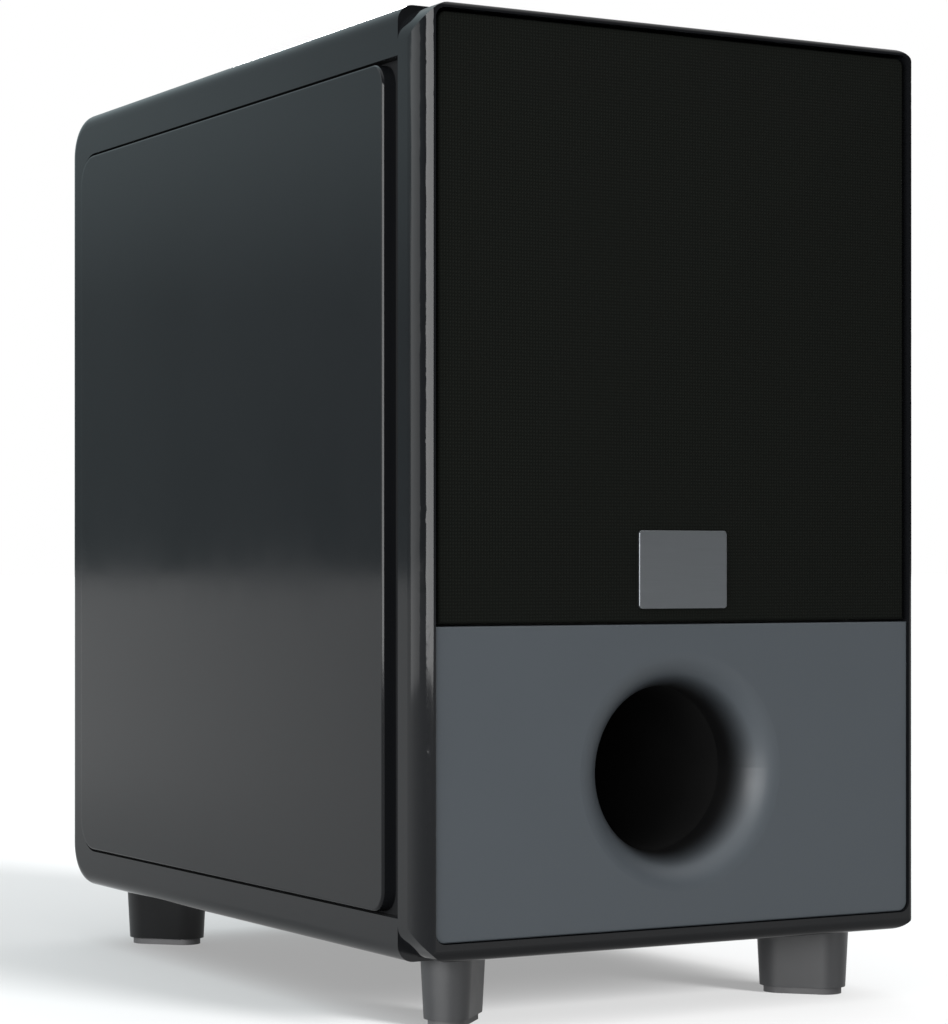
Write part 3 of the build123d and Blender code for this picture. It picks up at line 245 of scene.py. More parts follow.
def board_paint(name, dark_side):
    """Fibreboard: brown, with thin black paint on the face at depth dark_side, if one is given."""
    s = Shader(name, (0.25, 0.17, 0.1), 0.8)
    fibre = s.mix(s.noise(900, 4, 0.7), *RAW_BOARD)
    if dark_side is not None:
        painted = s.between(s.axis("Y"), dark_side - PAINT_EDGE, dark_side + PAINT_EDGE)
        s.color(s.mix(painted, fibre, (0.012, 0.012, 0.012)))
    else:
        s.color(fibre)
    s.roughness(s.span(s.noise(400, 3), 0.65, 0.85))
    s.bump(s.noise(1800, 4, 0.7), 0.00008, 0.5)
    return s.material


def moulded(name, color, roughness=0.5, grain=2600, depth=0.00004, **inputs):
    """Moulded plastic with a fine spark-eroded grain."""
    s = Shader(name, color, roughness, **inputs)
    cloud = s.noise(30, 4, 0.6)
    lighter = tuple(c * 1.18 + 0.001 for c in color)
    s.color(s.mix(cloud, color, lighter))
    s.roughness(s.span(cloud, roughness - 0.06, roughness + 0.06))
    s.bump(s.noise(grain, 3, 0.6), depth, 0.5)
    return s.material


def fascia_plastic():
    """Satin grey moulding, with painted shade taking it to black where its flare runs into the
    port.
    """
    s = Shader("fascia_satin_grey", FASCIA_GREY, 0.48, Specular_IOR_Level=0.22)
    cloud = s.noise(30, 4, 0.6)
    grey = s.mix(cloud, FASCIA_GREY, tuple(c * 1.1 for c in FASCIA_GREY))
    x = s.maths("SUBTRACT", s.axis("X"), port_axis.x)
    z = s.maths("SUBTRACT", s.axis("Z"), port_axis.z)
    squared = s.maths("ADD", s.maths("MULTIPLY", x, x), s.maths("MULTIPLY", z, z))
    radius = s.maths("SQRT", squared)
    # Painted shade: the colour goes from grey to black over the last few millimetres before the
    # port, standing in for the shade inside the hole.
    lit = s.span(radius, 0, 1, PORT_R, PORT_R + PORT_SHADE_FADE)
    s.color(s.mix(lit, PORT_SHADE_BLACK, grey))
    s.roughness(s.span(cloud, 0.42, 0.54))
    s.bump(s.noise(2200, 3, 0.6), 0.00004, 0.5)
    return s.material


def rubber(name, color=(0.014, 0.014, 0.015), roughness=0.7):
    """Soft matte rubber with a chalky bloom."""
    s = Shader(name, color, roughness, Sheen_Weight=0.06)
    bloom = s.noise(60, 5, 0.65)
    s.color(s.mix(bloom, color, tuple(c * 1.5 + 0.004 for c in color)))
    s.roughness(s.span(bloom, roughness - 0.1, roughness + 0.08))
    s.bump(s.noise(1500, 3), 0.00005, 0.4)
    return s.material


def metal(name, color, roughness=0.3, brush=(1, 1, 60), depth=0.00001):
    """Metal with fine lines drawn along the axis whose brush factor is smallest."""
    s = Shader(name, color, roughness, metallic=1.0)
    lines = s.noise(400, 3, 0.7, stretch=brush)
    s.color(s.mix(lines, tuple(c * 0.82 for c in color), color))
    s.roughness(s.span(lines, roughness - 0.08, roughness + 0.12))
    s.bump(lines, depth, 0.35)
    return s.material


def powder_coat(name, color=(0.011, 0.011, 0.012)):
    """Black powder coat: small rounded pebbles."""
    s = Shader(name, color, 0.42)
    pebbles = s.noise(1300, 2, 0.5)
    s.color(s.mix(s.noise(25, 3), color, tuple(c * 1.4 for c in color)))
    s.roughness(s.span(pebbles, 0.34, 0.52))
    s.bump(pebbles, 0.00012, 0.5)
    return s.material


STITCHES = 760


def knitted(name):
    """Black acoustic cloth: a fine two-way knit."""
    s = Shader(name, (0.004, 0.0043, 0.004), 0.85, Specular_IOR_Level=0.04)
    knit = s.maths("MULTIPLY", s.wave(STITCHES, "Z"), s.wave(STITCHES, "X"))
    s.color(s.mix(knit, (0.0015, 0.0018, 0.0014), (0.0034, 0.004, 0.0032)))
    s.bump(knit, 0.00025, 0.8)
    s.bump(s.noise(90, 3), 0.00006, 0.3)
    return s.material


def paper_cone(name):
    """Pressed paper cone: matte black fibres."""
    s = Shader(name, (0.012, 0.012, 0.013), 0.75)
    fibres = s.noise(700, 5, 0.75)
    s.color(s.mix(fibres, (0.008, 0.008, 0.009), (0.024, 0.024, 0.025)))
    s.roughness(s.span(fibres, 0.65, 0.85))
    s.bump(fibres, 0.00015, 0.6)
    return s.material


def wound(name, color, per_metre, metallic=0.9, roughness=0.35):
    """Fine wire laid turn by turn along the driver's axis."""
    s = Shader(name, color, roughness, metallic=metallic)
    turns = s.wave(per_metre, "Y")
    s.color(s.mix(turns, tuple(c * 0.45 for c in color), color))
    s.bump(turns, 0.0002, 0.9)
    return s.material


def fibre_mat(name, color, scale=500):
    """Loose white fibre."""
    s = Shader(name, color, 0.95, Sheen_Weight=0.3)
    tangle = s.noise(scale, 6, 0.8, stretch=(1, 3, 1))
    s.color(s.mix(tangle, tuple(c * 0.6 for c in color), color))
    s.bump(tangle, 0.002, 0.8)
    return s.material


def circuit_board(name):
    """Green solder mask over copper tracks."""
    s = Shader(name, (0.01, 0.09, 0.03), 0.35)
    tracks = s.node("ShaderNodeTexVoronoi", feature="DISTANCE_TO_EDGE")
    tracks.inputs["Scale"].default_value = 160
    s.link(s.place, tracks.inputs["Vector"])
    line = s.maths("LESS_THAN", tracks.outputs["Distance"], 0.08)
    s.color(s.mix(line, (0.008, 0.075, 0.026), (0.03, 0.16, 0.06)))
    s.bump(line, 0.00005, 0.5)
    return s.material


def glowing(name, color):
    """Small diffused lamp."""
    s = Shader(name, color, 0.3, Emission_Color=(*color, 1), Emission_Strength=0.6)
    s.roughness(s.span(s.noise(300, 2), 0.25, 0.4))
    s.bump(s.noise(900, 2), 0.00003, 0.3)
    return s.material


STEEL = (0.5, 0.5, 0.51)
ZINC = (0.56, 0.57, 0.58)
FINISHES = {
    cabinet_paint(): ["cabinet_wrap"],
    lacquer("black_lacquer").material: ["front_frame", "side_panel_left", "side_panel_right"],
    board_paint("baffle_mdf", baffle_lo.y): ["baffle_board"],
    board_paint("rear_mdf", rear_hi.y): ["rear_board"],
    board_paint("brace_mdf", None): ["brace"],
    fascia_plastic(): ["lower_fascia"],
    moulded("port_black", (0.0008, 0.0008, 0.0008), 0.85, Specular_IOR_Level=0.1): ["port_tube"],
    moulded("grille_frame_black", (0.012, 0.012, 0.012), 0.6): ["grille_frame"],
    moulded("foot_plastic", (0.012, 0.0125, 0.0135), 0.42, grain=1500, Specular_IOR_Level=0.35): [
        "foot_front_left", "foot_front_right", "foot_rear_left", "foot_rear_right",
    ],
    rubber("pad_rubber"): ["foot_pads", "grille_sockets", "amp_gasket", "trim_ring"],
    powder_coat("basket_coat", (0.014, 0.014, 0.015)): ["driver_basket"],
    powder_coat("amp_plate_coat"): ["amp_plate"],
    paper_cone("cone_paper"): ["driver_cone", "dust_cap"],
    metal("former_foil", (0.75, 0.76, 0.77), 0.25, (1, 60, 1)): ["coil_former"],
    wound("copper_wire", (0.6, 0.25, 0.11), 2600): ["coil_winding"],
    metal("zinc_plate", ZINC, 0.35, (1, 30, 1)): ["magnet_top_plate", "magnet_yoke", "foot_screws"],
    moulded("ferrite", (0.022, 0.022, 0.024), 0.55, grain=900): ["driver_magnet"],
    moulded("fibre_board", (0.18, 0.1, 0.045), 0.7, grain=1200): ["driver_terminals"],
    moulded("black_screws_steel", (0.02, 0.02, 0.022), 0.35): ["driver_screws", "amp_screws"],
    moulded("control_black", (0.012, 0.012, 0.013), 0.45, grain=1800): [
        "level_knob", "crossover_knob", "phase_switch", "power_mode_switch", "jack_bodies",
        "mains_inlet", "fuse_drawer", "rocker_housing",
    ],
    moulded("rocker_gloss", (0.012, 0.012, 0.013), 0.2, grain=800): ["rocker_switch"],
    metal("control_steel", STEEL, 0.3, (1, 40, 1)): [
        "level_shaft", "crossover_shaft", "pot_bodies", "switch_bodies",
    ],
    metal("chassis_steel", ZINC, 0.4, (40, 1, 1)): ["amp_chassis", "transformer_clamp"],
    metal("nickel", (0.72, 0.69, 0.63), 0.16, (1, 40, 1)): ["jack_shells"],
    metal("pin_brass", (0.75, 0.6, 0.28), 0.22, (40, 1, 40)): ["inlet_pins"],
    metal("sink_aluminium", (0.62, 0.63, 0.64), 0.32, (40, 40, 1)): ["heat_sink"],
    circuit_board("solder_mask"): ["amp_board"],
    moulded("capacitor_sleeve", (0.012, 0.014, 0.05), 0.3): ["capacitors"],
    moulded("winding_tape", (0.42, 0.3, 0.05), 0.4, grain=700): ["transformer"],
    glowing("status_green", (0.05, 0.45, 0.12)): ["status_led"],
    rubber("lead_pvc", (0.012, 0.012, 0.013), 0.5): ["speaker_lead"],
    moulded("nylon", (0.7, 0.69, 0.64), 0.45): ["lead_clip"],
}


def dress(node, material):
    """Gives a CAD node a material in place of its own."""
    slots = nodes[node].data.materials
    slots.clear()
    slots.append(material)


for material, names in FINISHES.items():
    for name in names:
        dress(name, material)


# ------------------------------------------------------------------- mesh helpers
def new_piece(name, bm, material, body, smooth=35):
    """Finishes a bmesh as a piece that rides on a body, or on none.

    Edges that turn more than smooth, in degrees, stay sharp; 0 keeps every face flat.
    """
    mesh = bpy.data.meshes.new(name)
    bmesh.ops.recalc_face_normals(bm, faces=bm.faces)
    bm.to_mesh(mesh)
    bm.free()
    piece = bpy.data.objects.new(name, mesh)
    bpy.context.scene.collection.objects.link(piece)
    mesh.materials.append(material)
    if smooth:
        for polygon in mesh.polygons:
            polygon.use_smooth = True
        mesh.set_sharp_from_angle(angle=radians(smooth))
    if body is not None:
        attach(piece, body)
    return piece


def join_loops(bm, loops):
    """Faces between each closed loop of vertices and the next."""
    for near, far in zip(loops, loops[1:]):
        for i in range(len(near)):
            j = (i + 1) % len(near)
            bm.faces.new((near[i], near[j], far[j], far[i]))


# --------------------------------------------------------------------- grille cloth
CLOTH_CORNER = 3.5 * MM
CLOTH_TURN = 1.4 * MM
CLOTH_STEPS = 6
CORNER_STEPS = 10


def rounded_front(width, height, radius):
    """Outline of the grille about its middle: square below, rounded above."""
    outline = [(width / 2, -height / 2)]
    for side, start in ((1, 0), (-1, 90)):
        for i in range(CORNER_STEPS + 1):
            turn = radians(start + 90 * i / CORNER_STEPS)
            x = side * (width / 2 - radius) + radius * cos(turn)
            outline.append((x, height / 2 - radius + radius * sin(turn)))
    outline.append((-width / 2, -height / 2))
    return outline


def make_cloth():
    """Cloth stretched over the grille frame and turned round its edges."""
    size = cloth_hi - cloth_lo
    middle = (cloth_lo + cloth_hi) / 2
    bm = bmesh.new()
    rings = []
    for i in range(CLOTH_STEPS + 1):
        a = radians(90 * i / CLOTH_STEPS)
        inset = CLOTH_TURN * (1 - sin(a))
        rings.append((inset, cloth_lo.y + CLOTH_TURN * (1 - cos(a))))
    rings.append((0, cloth_hi.y))
    loops = []
    for inset, y in rings:
        outline = rounded_front(size.x - 2 * inset, size.z - 2 * inset, CLOTH_CORNER - inset)
        loops.append([bm.verts.new((middle.x + x, y, middle.z + z)) for x, z in outline])
    bm.faces.new(loops[0])
    join_loops(bm, loops)
    cloth = new_piece("grille_fabric", bm, knitted("acoustic_cloth"), "grille")
    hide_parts("grille_cloth")


make_cloth()


# --------------------------------------------------------------------------- badge
def badge_metal():
    """Satin plate with a fine horizontal brush."""
    s = Shader("badge_brushed", (0.1, 0.106, 0.112), 0.38, metallic=1.0)
    lines = s.noise(500, 3, 0.7, stretch=(0.06, 1, 6))
    s.color(s.mix(lines, (0.075, 0.08, 0.085), (0.108, 0.115, 0.122)))
    s.roughness(s.span(lines, 0.32, 0.5))
    s.bump(lines, 0.00002, 0.4)
    return s.material


dress("badge_plate", badge_metal())


# ------------------------------------------------------------- surround and spider
# Profiles give radius about the driver's axis and depth behind the front, in millimetres.
driver_axis = centre("driver_cone")
front_y = frame_lo.y
SECTORS = 16
SECTOR_STEPS = 8
ROLL_MID_R, ROLL_R, ROLL_INNER_R = 85, 7, 6
ROLL_FACE, ROLL_BACK, ROLL_CROWN = 22, 22.95, 6.85
ROLL_STEPS = 20
PLEATS_IN_R, PLEATS_OUT_R, PLEAT_PITCH = 27, 60, 2.75
PLEAT_HEIGHT, PLEAT_DEPTH, SPIDER_T = 1.15, 65, 0.7
PLEAT_STEPS = 96


def at_angle(radius, depth, turn):
    """Point at a radius in mm about the driver's axis, a depth in mm behind the front."""
    x = driver_axis.x + radius * MM * cos(turn)
    z = driver_axis.z + radius * MM * sin(turn)
    return Vector((x, front_y + depth * MM, z))


def make_ring(name, profile, material, slot):
    """Closed profile turned round the driver's axis, in sectors."""
    for index in range(SECTORS):
        begin = 2 * pi * index / SECTORS
        bm = bmesh.new()
        loops = []
        for i in range(SECTOR_STEPS + 1):
            turn = begin + 2 * pi / SECTORS * i / SECTOR_STEPS
            loops.append([bm.verts.new(at_angle(r, depth, turn)) for r, depth in profile])
        join_loops(bm, loops)
        bm.faces.new(loops[0])
        bm.faces.new(loops[-1])
        sector = new_piece(f"{name}_{index:02d}", bm, material, None)
        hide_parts(slot)
        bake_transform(sector)


def surround_profile():
    """Half roll with a flat lip each side, a rib where the roll meets each lip."""
    outer = [(92.9, 22.05), (92.4, 22.0)]
    for i in range(ROLL_STEPS + 1):
        a = pi * i / ROLL_STEPS
        outer.append((ROLL_MID_R + ROLL_R * cos(a), ROLL_FACE - ROLL_R * sin(a)))
    outer += [(77.2, 21.8), (76.6, 21.5), (75.6, 21.5), (75.0, 21.9), (73.6, 22.1)]
    outer.append((73.6, ROLL_BACK))
    inner = [(ROLL_MID_R - ROLL_INNER_R, ROLL_BACK)]
    for i in range(ROLL_STEPS + 1):
        a = pi * i / ROLL_STEPS
        inner.append((ROLL_MID_R - ROLL_INNER_R * cos(a), ROLL_BACK - ROLL_CROWN * sin(a)))
    return outer + inner + [(92.9, ROLL_BACK)]


def spider_profile():
    """Rounded pleats between the coil former and the glued rim."""
    front = [(25.7, PLEAT_DEPTH)]
    for i in range(PLEAT_STEPS + 1):
        out = (PLEATS_OUT_R - PLEATS_IN_R) * i / PLEAT_STEPS
        front.append((PLEATS_IN_R + out, PLEAT_DEPTH - PLEAT_HEIGHT * cos(pi * out / PLEAT_PITCH)))
    front += [(60.9, 66.1), (61.8, 66.25), (68.4, 66.25)]
    return front + [(r, depth + SPIDER_T) for r, depth in reversed(front)]


def woven(name, color, per_metre):
    """Resin-stiffened cotton weave."""
    s = Shader(name, color, 0.7)
    weave = s.maths("MULTIPLY", s.wave(per_metre, "X"), s.wave(per_metre, "Z"))
    s.color(s.mix(weave, tuple(c * 0.55 for c in color), color))
    s.roughness(s.span(s.noise(300, 3), 0.6, 0.8))
    s.bump(weave, 0.0002, 0.7)
    return s.material


surround_rubber = rubber("surround_rubber", (0.011, 0.011, 0.012), 0.55)
spider_cotton = woven("spider_cotton", (0.42, 0.27, 0.1), 900)
make_ring("surround", surround_profile(), surround_rubber, "driver_surround")
make_ring("spider", spider_profile(), spider_cotton, "driver_spider")


# ------------------------------------------------------------------------- wadding
MAT_HALF_T = 10 * MM
MAT_CORNER = 14 * MM
MAT_AROUND = 40
WALL_STEPS, TURN_STEPS, TOP_STEPS = 60, 8, 34
# The mat's section is a rounded oblong, which narrows over the last steps of each end.
SECTION_POWER = 0.4
END_SHARE, END_STEPS = 0.55, 5
TUFT_SHARE, TUFTS_PER_METRE = 0.16, 70


def wadding_path():
    """Middle of the mat, up one wall, under the top and down the other: x, z, outward x and z."""
    left, right = wadding_lo.x + MAT_HALF_T, wadding_hi.x - MAT_HALF_T
    low, high = wadding_lo.z, wadding_hi.z - MAT_HALF_T
    side = []
    for i in range(WALL_STEPS):
        side.append((left, low + (high - MAT_CORNER - low) * i / WALL_STEPS, -1, 0))
    for i in range(TURN_STEPS + 1):
        a = pi / 2 * i / TURN_STEPS
        x = left + MAT_CORNER * (1 - cos(a))
        side.append((x, high - MAT_CORNER + MAT_CORNER * sin(a), -cos(a), sin(a)))
    top = []
    for i in range(1, TOP_STEPS):
        x = left + MAT_CORNER + (right - left - 2 * MAT_CORNER) * i / TOP_STEPS
        top.append((x, high, 0, 1))
    other = [(left + right - x, z, -out_x, out_z) for x, z, out_x, out_z in reversed(side)]
    return side + top + other


def flattened(value):
    """A sine or cosine, pushed towards 1 or -1."""
    return abs(value) ** SECTION_POWER * (1 if value > 0 else -1)


def make_wadding():
    """Fibre mat with tufted faces along its path."""
    path = wadding_path()
    middle_y = (wadding_lo.y + wadding_hi.y) / 2
    half_y = (wadding_hi.y - wadding_lo.y) / 2
    bm = bmesh.new()
    loops = []
    last = len(path) - 1
    for index, (x, z, out_x, out_z) in enumerate(path):
        from_end = min(index, last - index)
        rounding = min(1.0, END_SHARE + (1 - END_SHARE) * from_end / END_STEPS)
        loop = []
        for k in range(MAT_AROUND):
            a = 2 * pi * k / MAT_AROUND
            flat_t, flat_y = flattened(cos(a)), flattened(sin(a))
            seed = Vector((x, middle_y + flat_y * half_y, z)) * TUFTS_PER_METRE
            tuft = 0.5 + 0.5 * noise.fractal(seed + Vector((0, 0, flat_t)), 0.9, 2.1, 4)
            shrink = rounding * (1 - TUFT_SHARE * min(1, max(0, tuft)))
            out = MAT_HALF_T * flat_t * shrink
            y = middle_y + flat_y * half_y * shrink
            loop.append(bm.verts.new((x + out_x * out, y, z + out_z * out)))
        loops.append(loop)
    join_loops(bm, loops)
    bm.faces.new(loops[0])
    bm.faces.new(loops[-1])
    fibre = fibre_mat("polyester_fibre", (0.78, 0.78, 0.75))
    mat = new_piece("wadding_mat", bm, fibre, "cabinet", smooth=60)
    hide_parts("wadding")


make_wadding()


# ------------------------------------------------------------- marks on the controls
PRINT_T = 0.12 * MM
LINE_W = 0.45 * MM
SCALE_R = 13.2 * MM
SCALE_TICKS, FULL_TICK_EVERY = 11, 5
SCALE_START, SCALE_STEP = 240, 30
FULL_TICK, TICK = 2.6 * MM, 1.6 * MM
SLIDER_MARK = 0.5 * MM, PRINT_T, 2.2 * MM
SLIDER_MARK_UP, SLIDER_MARK_LEFT, SLIDER_MARK_RIGHT = 4 * MM, 1 * MM, 5 * MM
POINTER = 1.1 * MM, 0.15 * MM, 6.8 * MM
POINTER_IN, POINTER_UP = 0.7 * MM, 6 * MM


def add_box(bm, middle, size, turn=0.0, bevel=0.0):
    """Box about a point, turned in the plane of the rear panel, with its edges eased."""
    made = bmesh.ops.create_cube(bm, size=1)["verts"]
    for v in made:
        x, y, z = v.co.x * size[0], v.co.y * size[1], v.co.z * size[2]
        v.co = (
            middle[0] + x * cos(turn) - z * sin(turn),
            middle[1] + y,
            middle[2] + x * sin(turn) + z * cos(turn),
        )
    if bevel:
        edges = {e for v in made for e in v.link_edges}
        bmesh.ops.bevel(bm, geom=list(edges), offset=bevel, segments=2, affect="EDGES", profile=0.5)


def printed():
    """White screen print, slightly worn."""
    s = Shader("white_print", (0.72, 0.72, 0.7), 0.6)
    wear = s.noise(700, 3)
    s.color(s.mix(wear, (0.55, 0.55, 0.54), (0.76, 0.76, 0.74)))
    s.roughness(s.span(wear, 0.5, 0.7))
    s.bump(wear, 0.00001, 0.3)
    return s.material


white_print = printed()


def make_marks():
    """Tick marks about both knobs and beside both slide switches."""
    bm = bmesh.new()
    y = plate_hi.y + PRINT_T / 2
    for knob in ("level_knob", "crossover_knob"):
        at = centre(knob)
        for i in range(SCALE_TICKS):
            turn = radians(SCALE_START - SCALE_STEP * i)
            length = FULL_TICK if i % FULL_TICK_EVERY == 0 else TICK
            reach = SCALE_R + length / 2
            place = (at.x + reach * cos(turn), y, at.z + reach * sin(turn))
            add_box(bm, place, (length, PRINT_T, LINE_W), turn)
    for slider in ("phase_switch", "power_mode_switch"):
        lo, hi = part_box(slider)
        for x in (lo.x - SLIDER_MARK_LEFT, hi.x + SLIDER_MARK_RIGHT):
            add_box(bm, (x, y, hi.z + SLIDER_MARK_UP), SLIDER_MARK)
    new_piece("control_marks", bm, white_print, "cabinet", smooth=0)


def make_pointers():
    """Painted bottom of each knob's pointer groove."""
    for knob, body in (("level_knob", "level_dial"), ("crossover_knob", "crossover_dial")):
        at = centre(knob)
        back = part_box(knob)[1].y
        bm = bmesh.new()
        add_box(bm, (at.x, back - POINTER_IN, at.z + POINTER_UP), POINTER)
        new_piece(f"{knob}_pointer", bm, white_print, body, smooth=0)


make_marks()
make_pointers()


# ------------------------------------------------------------- parts on the amp board
CHIPS = [
    (38, 22, 15, 15, 3), (14, 30, 9, 7, 2), (-8, 28, 9, 7, 2), (46, -8, 7, 7, 2), (-50, 4, 9, 7, 2),
]
FILM_CAPACITORS = [(-46 + 15 * i, 12, 11, 6, 9) for i in range(4)]
FILM_CAPACITORS += [(30 + 12 * i, -28, 9, 6, 8) for i in range(3)]
PLUGS = [(-52, 36, 18, 6, 7), (-28, 36, 13, 6, 7), (52, 38, 16, 6, 7)]
RESISTORS = [(-50 + 7 * i, -3 - 5 * row, 2.4, 4.4, 2.2) for row in range(2) for i in range(6)]
RESISTORS += [(-50 + 7 * i, -2 - 7 * row, 2.4, 4.4, 2.2) for row in range(2) for i in range(6, 9)]


def add_board_parts(name, rows, bevel, material):
    """One kind of part soldered to the amplifier board, as one piece.

    A row is a part's place on the board from its middle, then its width, height and how far it
    stands out, in millimetres.
    """
    middle = centre("amp_board")
    bm = bmesh.new()
    for x, z, w, h, tall in rows:
        place = (middle.x + x * MM, board_hi.y + tall * MM / 2, middle.z + z * MM)
        add_box(bm, place, (w * MM, tall * MM, h * MM), bevel=bevel * MM)
    new_piece(name, bm, material, "cabinet")


resin = moulded("chip_resin", (0.016, 0.016, 0.017), 0.45)
film = moulded("film_capacitor", (0.5, 0.07, 0.03), 0.35, grain=900)
plug_nylon = moulded("plug_nylon", (0.62, 0.6, 0.52), 0.45)
resistor_body = moulded("resistor_body", (0.36, 0.24, 0.13), 0.5, grain=900)
add_board_parts("board_chips", CHIPS, 0.3, resin)
add_board_parts("board_film_capacitors", FILM_CAPACITORS, 0.8, film)
add_board_parts("board_plugs", PLUGS, 0.4, plug_nylon)
add_board_parts("board_resistors", RESISTORS, 0.8, resistor_body)


# ----------------------------------------------------------------- stage and light
FLOOR_GREY = (0.2, 0.2, 0.2)
FLOOR_GLOW = 0.36
FLOOR_HALF = 60


def make_stage():
    """Pale glowing floor, so that open floor runs into the white backdrop."""
    glow = {"Emission_Color": (1, 1, 1, 1), "Emission_Strength": FLOOR_GLOW}
    s = Shader("studio_floor", FLOOR_GREY, 0.8, **glow)
    s.color(s.mix(s.noise(3, 3), (0.197, 0.198, 0.2), (0.204, 0.204, 0.204)))
    bm = bmesh.new()
    bmesh.ops.create_grid(bm, x_segments=8, y_segments=8, size=FLOOR_HALF)
    mesh = bpy.data.meshes.new("floor")
    bm.to_mesh(mesh)
    bm.free()
    floor = bpy.data.objects.new("floor", mesh)
    bpy.context.scene.collection.objects.link(floor)
    mesh.materials.append(s.material)
    return floor


# Studio brightness by height of the direction (its sine), one list all round and one towards
# the wall behind the left side.
BRIGHTEST = 4.0
ALL_ROUND = [(0, 0.04), (0.2, 0.08), (0.342, 0.15), (0.5, 0.6), (0.766, 3.0)]
LEFT_WALL = [(0, 0.3), (0.09, 0.36), (0.15, 0.78), (0.34, 0.7), (0.5, 0.8), (0.766, 3.0)]
WALL_TINT = (0.82, 1.0, 1.05)
WALL_TURN = radians(-25)
WALL_EDGE = cos(radians(60)), cos(radians(20))


def make_world():
    """Dark studio with a bright ceiling and a grey wall; the backdrop itself is white."""
    world = bpy.data.worlds.new("studio")
    bpy.context.scene.world = world
    world.use_nodes = True
    tree = world.node_tree

    def add(kind, **settings):
        made = tree.nodes.new(kind)
        for key, value in settings.items():
            setattr(made, key, value)
        return made

    place = add("ShaderNodeTexCoord").outputs["Generated"]
    split = add("ShaderNodeSeparateXYZ")
    tree.links.new(place, split.inputs[0])

    def ramp(levels, tint=(1, 1, 1)):
        made = add("ShaderNodeValToRGB")
        tree.links.new(split.outputs["Z"], made.inputs["Fac"])
        stops = made.color_ramp.elements
        while len(stops) < len(levels):
            stops.new(1)
        for stop, (position, level) in zip(stops, levels):
            stop.position = position
            stop.color = (*[level / BRIGHTEST * part for part in tint], 1)
        return made.outputs["Color"]

    level = add("ShaderNodeVectorMath", operation="MULTIPLY")
    tree.links.new(place, level.inputs[0])
    level.inputs[1].default_value = (1, 1, 0)
    heading = add("ShaderNodeVectorMath", operation="NORMALIZE")
    tree.links.new(level.outputs[0], heading.inputs[0])
    facing = add("ShaderNodeVectorMath", operation="DOT_PRODUCT")
    tree.links.new(heading.outputs[0], facing.inputs[0])
    facing.inputs[1].default_value = (sin(WALL_TURN), cos(WALL_TURN), 0)
    spread = add("ShaderNodeMapRange", interpolation_type="SMOOTHSTEP")
    spread.inputs["From Min"].default_value, spread.inputs["From Max"].default_value = WALL_EDGE
    tree.links.new(facing.outputs["Value"], spread.inputs["Value"])
    blend = add("ShaderNodeMix", data_type="RGBA")
    tree.links.new(spread.outputs["Result"], blend.inputs["Factor"])
    first, second = [side for side in blend.inputs if side.type == "RGBA"]
    tree.links.new(ramp(ALL_ROUND), first)
    tree.links.new(ramp(LEFT_WALL, WALL_TINT), second)
    studio = tree.nodes["Background"]
    studio.inputs["Strength"].default_value = BRIGHTEST
    mixed = [side for side in blend.outputs if side.type == "RGBA"][0]
    tree.links.new(mixed, studio.inputs["Color"])
    backdrop = add("ShaderNodeBackground")
    backdrop.inputs["Color"].default_value = (1, 1, 1, 1)
    seen = add("ShaderNodeLightPath").outputs["Is Camera Ray"]
    either = add("ShaderNodeMixShader")
    tree.links.new(seen, either.inputs["Fac"])
    tree.links.new(studio.outputs[0], either.inputs[1])
    tree.links.new(backdrop.outputs[0], either.inputs[2])
    tree.links.new(either.outputs[0], tree.nodes["World Output"].inputs["Surface"])


def make_light(name, place, target, size, radiance):
    """Softbox of a given brightness, aimed at a point."""
    data = bpy.data.lights.new(name, "AREA")
    data.shape = "RECTANGLE"
    data.size, data.size_y = size
    data.energy = radiance * pi * size[0] * size[1]
    light = bpy.data.objects.new(name, data)
    bpy.context.scene.collection.objects.link(light)
    light.location = place
    aim = Vector(target) - Vector(place)
    light.rotation_euler = aim.to_track_quat("-Z", "Y").to_euler()
    light.visible_camera = False
    return light


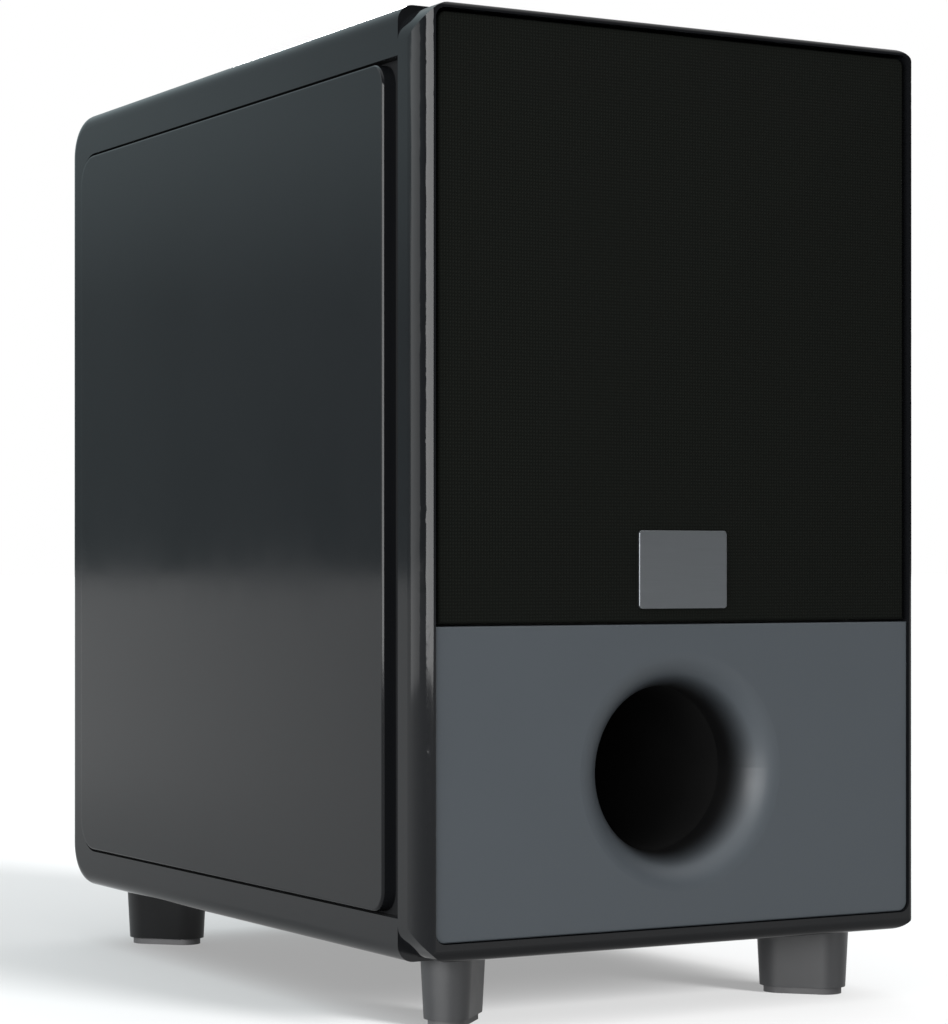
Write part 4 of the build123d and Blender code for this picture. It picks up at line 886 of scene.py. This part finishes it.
def limit_light(light, state, *pieces):
    """Lets a light reach the pieces alone (INCLUDE), or everything but them (EXCLUDE)."""
    group = bpy.data.collections.new(light.name + "_reach")
    light.light_linking.receiver_collection = group
    for piece in pieces:
        group.objects.link(piece)
    for entry in group.collection_objects:
        entry.light_linking.link_state = state


SUN_STRENGTH = 14.2
SUN_SOFTNESS = radians(18)
SUN_TRAVEL = Vector((-0.27, 0.74, -0.28))


def make_floor_sun(floor):
    """Low soft light from the right front that only the floor sees, for the contact shadows."""
    data = bpy.data.lights.new("floor_sun", "SUN")
    data.energy = SUN_STRENGTH
    data.angle = SUN_SOFTNESS
    light = bpy.data.objects.new("floor_sun", data)
    bpy.context.scene.collection.objects.link(light)
    light.rotation_euler = SUN_TRAVEL.to_track_quat("-Z", "Y").to_euler()
    limit_light(light, "INCLUDE", floor)


floor = make_stage()
make_world()
make_floor_sun(floor)
key = make_light("key", (-1.83, -1.22, 0.52), (-0.12, -0.19, 0.52), (2.9, 0.9), 18)
side_strip = make_light("side_strip", (-1.33, 0.86, 0.77), (-0.12, -0.19, 0.77), (0.64, 1.4), 2.5)
rear_fill = make_light("rear_fill", (1.5, 1.6, 1.5), (0, 0, 0.25), (2.0, 1.3), 16)
limit_light(key, "EXCLUDE", floor, nodes["foot_rear_left"])
limit_light(side_strip, "EXCLUDE", floor)
limit_light(rear_fill, "EXCLUDE", floor, nodes["front_frame"])


# -------------------------------------------------------------------------- camera
CAMERA_PLACE = (-0.6668, -1.1967, 0.1846)
CAMERA_HEADING = radians(-29.484)
SENSOR = 36
LENS = 103.21
SHIFT_UP = 0.0543
SEES_TO = 200


def make_camera():
    """Level camera before the left front corner, a little above the floor."""
    data = bpy.data.cameras.new("camera")
    data.sensor_fit = "VERTICAL"
    data.sensor_width = data.sensor_height = SENSOR
    data.lens = LENS
    data.shift_y = SHIFT_UP
    data.clip_end = SEES_TO
    camera = bpy.data.objects.new("camera", data)
    bpy.context.scene.collection.objects.link(camera)
    camera.location = CAMERA_PLACE
    camera.rotation_euler = (radians(90), 0, CAMERA_HEADING)
    bpy.context.scene.camera = camera


make_camera()
bpy.context.scene.view_settings.view_transform = "Standard"
